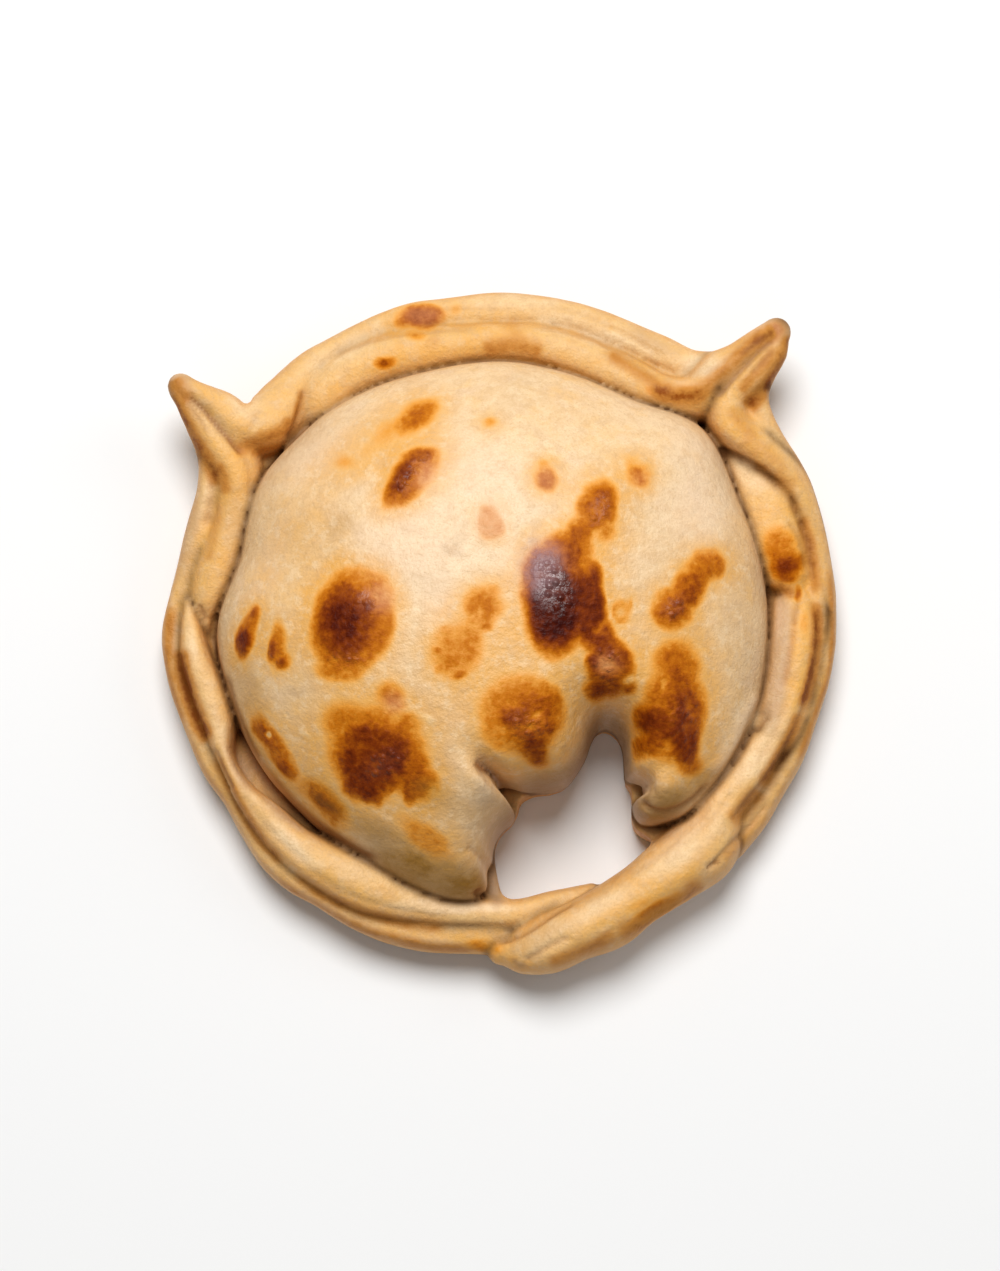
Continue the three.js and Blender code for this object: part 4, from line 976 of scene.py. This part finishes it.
flake = 0.5 * np.maximum(spot(424, 718, 11, 4, -20, 3), spot(306, 734, 5, 2, -40, 3)) * (1 - on_rim) * seen
push += 0.25 * flake
verts += push[:, None] * normal
verts[:, 2] = np.maximum(verts[:, 2], 0.0)

# ----------------------------------------------------------------- the mesh
verts[verts[:, 2] < 1e-3, 2] = 0.0
kept, fans = coarser_underside(verts, quads, cell, BLOCK)
used = np.unique(np.concatenate([kept.ravel(), fans.ravel()]))
index = np.zeros(len(verts), int)
index[used] = np.arange(len(used))
place = verts[used] + np.array([CENTRE[0], CENTRE[1], 0.0])
# no painted crease shade in the open pit at (758, 722)
crease_shade *= 1 - layered([open_pit]) * seen
mesh = bpy.data.meshes.new("crust")
mesh.from_pydata((place * 0.001).tolist(), [], index[kept].tolist() + index[fans].tolist())
mesh.update()
for name, values in dict(bake=bake, gold=gold, amber=amber, crease_shade=crease_shade, seam_shade=seam_shade, ridge=ridge, rim=on_rim,
                         fold=fold_shade, pink_and_highlight=pink_and_highlight, grey_and_shade=grey_and_shade, flake=flake, steep=steep, pale_and_highlight=pale_and_highlight,
                         gap_wall_shade=gap_wall_shade, painted_sheen=painted_sheen, under=under, tan_and_shade=tan_and_shade, foot=foot, gloss=gloss).items():
    mesh.attributes.new(name, "FLOAT", "POINT").data.foreach_set("value", np.clip(values[used], 0, 1).astype(np.float32))
mesh.polygons.foreach_set("use_smooth", np.ones(len(mesh.polygons), bool))
crust = bpy.data.objects.new("empanada_crust", mesh)
bpy.context.scene.collection.objects.link(crust)


# ----------------------------------------------------------------- the dough's finish
def dough_material():
    mat = bpy.data.materials.new("baked_dough")
    mat.use_nodes = True
    nt = mat.node_tree
    nt.nodes.clear()
    N, L = nt.nodes.new, nt.links.new

    def val(a, b, op, clamp=False):
        n = N("ShaderNodeMath")
        n.operation = op
        n.use_clamp = clamp
        for k, v in enumerate((a, b)):
            if isinstance(v, (int, float)):
                n.inputs[k].default_value = v
            else:
                L(v, n.inputs[k])
        return n.outputs[0]

    def attr(name):
        n = N("ShaderNodeAttribute")
        n.attribute_name = name
        return n.outputs["Fac"]

    coords = N("ShaderNodeTexCoord").outputs["Object"]

    def noise(scale, detail=3.0, rough=0.55, shift=None):
        n = N("ShaderNodeTexNoise")
        n.inputs["Scale"].default_value = scale
        n.inputs["Detail"].default_value = detail
        n.inputs["Roughness"].default_value = rough
        if shift:
            m = N("ShaderNodeMapping")
            m.inputs["Location"].default_value = shift
            L(coords, m.inputs["Vector"])
            L(m.outputs[0], n.inputs["Vector"])
        else:
            L(coords, n.inputs["Vector"])
        return n.outputs["Fac"]

    def mix(f, a, b):
        n = N("ShaderNodeMix")
        n.data_type = "RGBA"
        for socket, v in zip((n.inputs[0], n.inputs[6], n.inputs[7]), (f, a, b)):
            if isinstance(v, tuple):
                socket.default_value = (*v, 1.0)
            elif isinstance(v, (int, float)):
                socket.default_value = v
            else:
                L(v, socket)
        return n.outputs[2]

    def spread(v, lo, hi, to_lo=0.0, to_hi=1.0, kind="SMOOTHSTEP"):
        n = N("ShaderNodeMapRange")
        n.interpolation_type = kind
        for k, x in zip((1, 2, 3, 4), (lo, hi, to_lo, to_hi)):
            n.inputs[k].default_value = x
        L(v, n.inputs[0])
        return n.outputs[0]

    bake_a, gold_a, amber_a, crease_shade_a, seam_shade_a, ridge_a, rim_a, fold_shade_a, pink_and_highlight_a, grey_and_shade_a, flake_a, steep_a, pale_and_highlight_a, gap_wall_shade_a, \
        painted_sheen_a, under_a, tan_and_shade_a, foot_a, gloss_a = (attr(k) for k in (
            "bake", "gold", "amber", "crease_shade", "seam_shade", "ridge", "rim", "fold", "pink_and_highlight", "grey_and_shade", "flake", "steep", "pale_and_highlight",
            "gap_wall_shade", "painted_sheen", "under", "tan_and_shade", "foot", "gloss"))

    wide, wide2 = noise(60, 2), noise(75, 2, 0.5, (0.3, 0.7, 0.1))
    mid, mid2 = noise(230, 3, 0.6), noise(200, 3, 0.6, (0.9, 0.2, 0.5))
    fine, grain = noise(900, 3, 0.6), noise(2600, 2, 0.6)
    speck, speck2 = noise(520, 3, 0.65, (0.2, 0.5, 0.8)), noise(450, 3, 0.65, (0.6, 0.1, 0.4))

    # how far each place is baked, its marks broken up by noise
    ragged = val(val(val(mid, 0.5, "SUBTRACT"), 0.30, "MULTIPLY"), val(val(fine, 0.5, "SUBTRACT"), 0.42, "MULTIPLY"), "ADD")
    ragged = val(ragged, spread(bake_a, 0.10, 0.55), "MULTIPLY")
    baked = val(bake_a, ragged, "ADD", True)

    ramp = N("ShaderNodeValToRGB")
    stops = [(0.0, (0.82, 0.52, 0.22)), (0.15, (0.82, 0.42, 0.10)), (0.30, (0.76, 0.305, 0.034)),
             (0.42, (0.56, 0.168, 0.006)), (0.52, (0.43, 0.107, 0.002)), (0.62, (0.29, 0.059, 0.0015)),
             (0.72, (0.185, 0.028, 0.0012)), (0.85, (0.086, 0.009, 0.0012)), (1.0, (0.030, 0.0026, 0.002))]
    while len(ramp.color_ramp.elements) < len(stops):
        ramp.color_ramp.elements.new(0.5)
    for el, (at, c) in zip(ramp.color_ramp.elements, stops):
        el.position = at
        el.color = (*c, 1)
    L(baked, ramp.inputs[0])

    # pale dough in clouds of cream, yellow, pink and grey
    dough = mix(spread(wide, 0.35, 0.68), (0.83, 0.575, 0.315), (0.79, 0.515, 0.25))
    dough = mix(spread(mid, 0.48, 0.68, 0.0, 0.65), dough, (0.83, 0.49, 0.17))
    dough = mix(spread(mid2, 0.50, 0.70, 0.0, 0.60), dough, (0.78, 0.54, 0.34))
    dough = mix(spread(wide2, 0.48, 0.68, 0.0, 0.50), dough, (0.70, 0.50, 0.29))
    # paler dough: painted highlight on the dome, and the paler tops of the border
    dough = mix(val(pale_and_highlight_a, 0.75, "MULTIPLY"), dough, (0.88, 0.67, 0.435))
    # grey dough: grey smudges, and painted shade low on the front of the dome
    dough = mix(val(grey_and_shade_a, spread(mid2, 0.3, 0.7, 0.5, 1.0), "MULTIPLY"), dough, (0.52, 0.35, 0.19))
    golden = val(gold_a, spread(mid, 0.28, 0.68, 0.55, 1.0), "MULTIPLY")
    dough = mix(val(golden, val(1.0, rim_a, "SUBTRACT"), "MULTIPLY"), dough, (0.78, 0.41, 0.10))
    dough = mix(val(rim_a, spread(wide2, 0.35, 0.65, 0.50, 0.85), "MULTIPLY"), dough, (0.80, 0.46, 0.145))
    dough = mix(val(rim_a, spread(mid2, 0.47, 0.64, 0.0, 0.55), "MULTIPLY"), dough, (0.79, 0.42, 0.115))
    dough = mix(val(rim_a, spread(mid, 0.50, 0.68, 0.0, 0.30), "MULTIPLY"), dough, (0.86, 0.61, 0.33))
    dough = mix(val(val(rim_a, pale_and_highlight_a, "MULTIPLY"), spread(mid, 0.3, 0.6, 0.7, 1.0), "MULTIPLY"), dough, (0.88, 0.66, 0.40))
    dough = mix(val(golden, rim_a, "MULTIPLY"), dough, (0.79, 0.39, 0.065))
    flank = val(val(steep_a, rim_a, "MULTIPLY"), spread(mid2, 0.3, 0.65, 0.55, 0.95), "MULTIPLY")
    dough = mix(flank, dough, (0.70, 0.34, 0.09))
    dough = mix(val(amber_a, spread(mid2, 0.3, 0.7, 0.6, 1.0), "MULTIPLY"), dough, (0.78, 0.37, 0.055))
    on_ridge = val(val(spread(ridge_a, 0.1, 0.8), rim_a, "MULTIPLY"), spread(wide, 0.3, 0.62, 0.15, 0.8), "MULTIPLY")
    dough = mix(on_ridge, dough, (0.76, 0.385, 0.085))
    # grey on the border: painted shade on flanks and in recesses, and greyer skin
    dough = mix(val(grey_and_shade_a, val(rim_a, 0.85, "MULTIPLY"), "MULTIPLY"), dough, (0.52, 0.325, 0.185))
    dough = mix(spread(speck, 0.44, 0.66, 0.0, 0.36), dough, (0.62, 0.38, 0.18))
    dough = mix(val(spread(speck2, 0.48, 0.68, 0.0, 0.40), val(1.0, val(rim_a, 0.5, "MULTIPLY"), "SUBTRACT"), "MULTIPLY"), dough, (0.90, 0.68, 0.42))
    dough = mix(spread(grain, 0.40, 0.75, 0.0, 0.36), dough, (0.60, 0.36, 0.14))
    dough = mix(val(foot_a, spread(mid, 0.3, 0.65, 0.35, 0.75), "MULTIPLY"), dough, (0.60, 0.285, 0.075))
    dough = mix(val(under_a, 0.8, "MULTIPLY"), dough, (0.60, 0.32, 0.11))
    dough = mix(flake_a, dough, (0.90, 0.66, 0.34))
    # painted shade on the walls of the gap
    dough = mix(val(gap_wall_shade_a, 0.75, "MULTIPLY"), dough, (0.36, 0.215, 0.11))
    colour = mix(spread(baked, 0.02, 0.30), dough, ramp.outputs[0])
    # pinkish tone, partly painted highlight on the blisters and the top of the dome
    rosy_and_highlight = mix(spread(baked, 0.05, 0.45, kind="LINEAR"), (0.86, 0.60, 0.41), (0.56, 0.25, 0.15))
    colour = mix(val(pink_and_highlight_a, spread(baked, 0.45, 0.75, 0.8, 0.25), "MULTIPLY"), colour, rosy_and_highlight)
    # painted shade: browner, then dark brown, in creases and hollows
    colour = mix(val(spread(crease_shade_a, 0.25, 0.8), 0.45, "MULTIPLY"), colour, (0.60, 0.28, 0.07))
    colour = mix(val(spread(crease_shade_a, 0.55, 1.0), 0.55, "MULTIPLY"), colour, (0.30, 0.125, 0.03))
    # browned ridges, and painted shade in hollows and low on the dome
    browned_and_shaded = val(tan_and_shade_a, val(spread(mid, 0.3, 0.65, 0.75, 1.1), spread(speck2, 0.35, 0.65, 0.8, 1.1), "MULTIPLY"), "MULTIPLY", True)
    on_dome = val(1.0, rim_a, "SUBTRACT")
    colour = mix(val(browned_and_shaded, on_dome, "MULTIPLY"), colour, (0.36, 0.17, 0.022))
    colour = mix(val(spread(browned_and_shaded, 0.0, 0.5), rim_a, "MULTIPLY"), colour, (0.57, 0.235, 0.042))
    colour = mix(val(spread(browned_and_shaded, 0.40, 0.95), rim_a, "MULTIPLY"), colour, (0.26, 0.064, 0.006))
    # painted shade along the fold lines
    colour = mix(fold_shade_a, colour, (0.27, 0.095, 0.02))
    # painted highlight: purple-grey sheen on the large blister
    colour = mix(val(painted_sheen_a, val(spread(speck, 0.35, 0.65, 0.45, 0.8), spread(fine, 0.35, 0.6, 0.7, 1.0), "MULTIPLY"), "MULTIPLY"),
                 colour, (0.30, 0.165, 0.175))
    # painted shade: near-black line in the crevices
    colour = mix(val(seam_shade_a, 0.95, "MULTIPLY"), colour, (0.065, 0.022, 0.007))

    bsdf = N("ShaderNodeBsdfPrincipled")
    L(colour, bsdf.inputs["Base Color"])
    rough = val(0.52, val(spread(baked, 0.6, 1.0), 0.17, "MULTIPLY"), "SUBTRACT")
    rough = val(rough, val(val(mid2, 0.5, "SUBTRACT"), 0.22, "MULTIPLY"), "ADD")
    glossy = val(gloss_a, spread(baked, 0.35, 0.6), "MULTIPLY")
    rough = val(rough, val(glossy, 0.14, "MULTIPLY"), "SUBTRACT")
    L(rough, bsdf.inputs["Roughness"])
    shine = val(spread(baked, 0.12, 0.45, 0.50, 0.07), val(painted_sheen_a, 0.35, "MULTIPLY"), "ADD")
    shine = val(shine, val(1.0, seam_shade_a, "SUBTRACT"), "MULTIPLY")
    shine = val(shine, val(1.0, val(tan_and_shade_a, 0.85, "MULTIPLY"), "SUBTRACT"), "MULTIPLY")
    shine = val(shine, val(1.0, val(rim_a, 0.35, "MULTIPLY"), "SUBTRACT"), "MULTIPLY")
    shine = val(shine, val(glossy, 0.30, "MULTIPLY"), "ADD")
    L(shine, bsdf.inputs["Specular IOR Level"])

    # relief finer than the mesh
    bubbles = N("ShaderNodeTexVoronoi")
    bubbles.inputs["Scale"].default_value = 800
    L(coords, bubbles.inputs["Vector"])
    lift = val(val(val(fine, 0.55, "MULTIPLY"), val(grain, 0.22, "MULTIPLY"), "ADD"), val(speck, 0.7, "MULTIPLY"), "ADD")
    lift = val(lift, val(spread(bubbles.outputs["Distance"], 0.0, 0.6, 0.22, 0.0), spread(baked, 0.35, 0.75), "MULTIPLY"), "ADD")
    lift = val(lift, val(spread(bubbles.outputs["Distance"], 0.1, 0.7, 1.3, 0.0), glossy, "MULTIPLY"), "ADD")
    bump = N("ShaderNodeBump")
    bump.inputs["Strength"].default_value = 0.7
    bump.inputs["Distance"].default_value = 0.00045
    L(lift, bump.inputs["Height"])
    L(bump.outputs[0], bsdf.inputs["Normal"])

    out = N("ShaderNodeOutputMaterial")
    L(bsdf.outputs[0], out.inputs[0])
    return mat


mesh.materials.append(dough_material())
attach(crust, "root")
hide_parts("empanada")

# ----------------------------------------------------------------- stage, light, camera
floor_mesh = bpy.data.meshes.new("floor")
floor_mesh.from_pydata([(-3, -3, 0), (3, -3, 0), (3, 3, 0), (-3, 3, 0)], [], [(0, 1, 2, 3)])
floor = bpy.data.objects.new("floor", floor_mesh)
bpy.context.scene.collection.objects.link(floor)
floor.location.z = -0.0002
paint = bpy.data.materials.new("floor_paint")
paint.use_nodes = True
fb = paint.node_tree.nodes["Principled BSDF"]
tone = paint.node_tree.nodes.new("ShaderNodeTexNoise")
tone.inputs["Scale"].default_value = 6
tint = paint.node_tree.nodes.new("ShaderNodeValToRGB")
tint.color_ramp.elements[0].color = (0.86, 0.86, 0.855, 1)
tint.color_ramp.elements[1].color = (0.89, 0.89, 0.885, 1)
paint.node_tree.links.new(tone.outputs["Fac"], tint.inputs[0])
paint.node_tree.links.new(tint.outputs[0], fb.inputs["Base Color"])
fb.inputs["Roughness"].default_value = 0.9
floor_mesh.materials.append(paint)
floor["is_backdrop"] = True

world = bpy.data.worlds.new("studio")
bpy.context.scene.world = world
world.use_nodes = True
world.node_tree.nodes["Background"].inputs["Color"].default_value = (1.0, 1.0, 1.0, 1)
world.node_tree.nodes["Background"].inputs["Strength"].default_value = 0.17


def lamp(name, place, size, power, colour=(1, 1, 1)):
    data = bpy.data.lights.new(name, "AREA")
    data.shape = "DISK"
    data.size = size
    data.energy = power
    data.color = colour
    o = bpy.data.objects.new(name, data)
    bpy.context.scene.collection.objects.link(o)
    o.location = place
    aim = Vector((0, 0, 0.01)) - o.location
    o.rotation_mode = "QUATERNION"
    o.rotation_quaternion = aim.to_track_quat("-Z", "Y")
    return o


lamp("key", (-0.05, 0.47, 1.03), 0.62, 12.9)
lamp("side", (0.80, 0.30, 0.70), 0.60, 1.3)
lamp("front", (-0.15, -0.75, 0.70), 0.60, 0.7)

view = bpy.data.cameras.new("photo_camera")
view.lens = VIEW["lens"]
view.sensor_width = 36
view.sensor_fit = "AUTO"
view.clip_start, view.clip_end = 0.01, 20
camera = bpy.data.objects.new("photo_camera", view)
bpy.context.scene.collection.objects.link(camera)
camera.rotation_mode = "QUATERNION"
target = Vector((CENTRE[0] * 0.001, CENTRE[1] * 0.001, VIEW["height"] * 0.001))
camera.location = target + Vector(back.tolist()) * (VIEW["distance"] * 0.001)
camera.rotation_quaternion = (-Vector(back.tolist())).to_track_quat("-Z", "Y")
bpy.context.scene.camera = camera
bpy.context.scene.view_settings.view_transform = "Standard"

low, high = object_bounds()
print("triangles", 2 * len(kept) + len(fans))
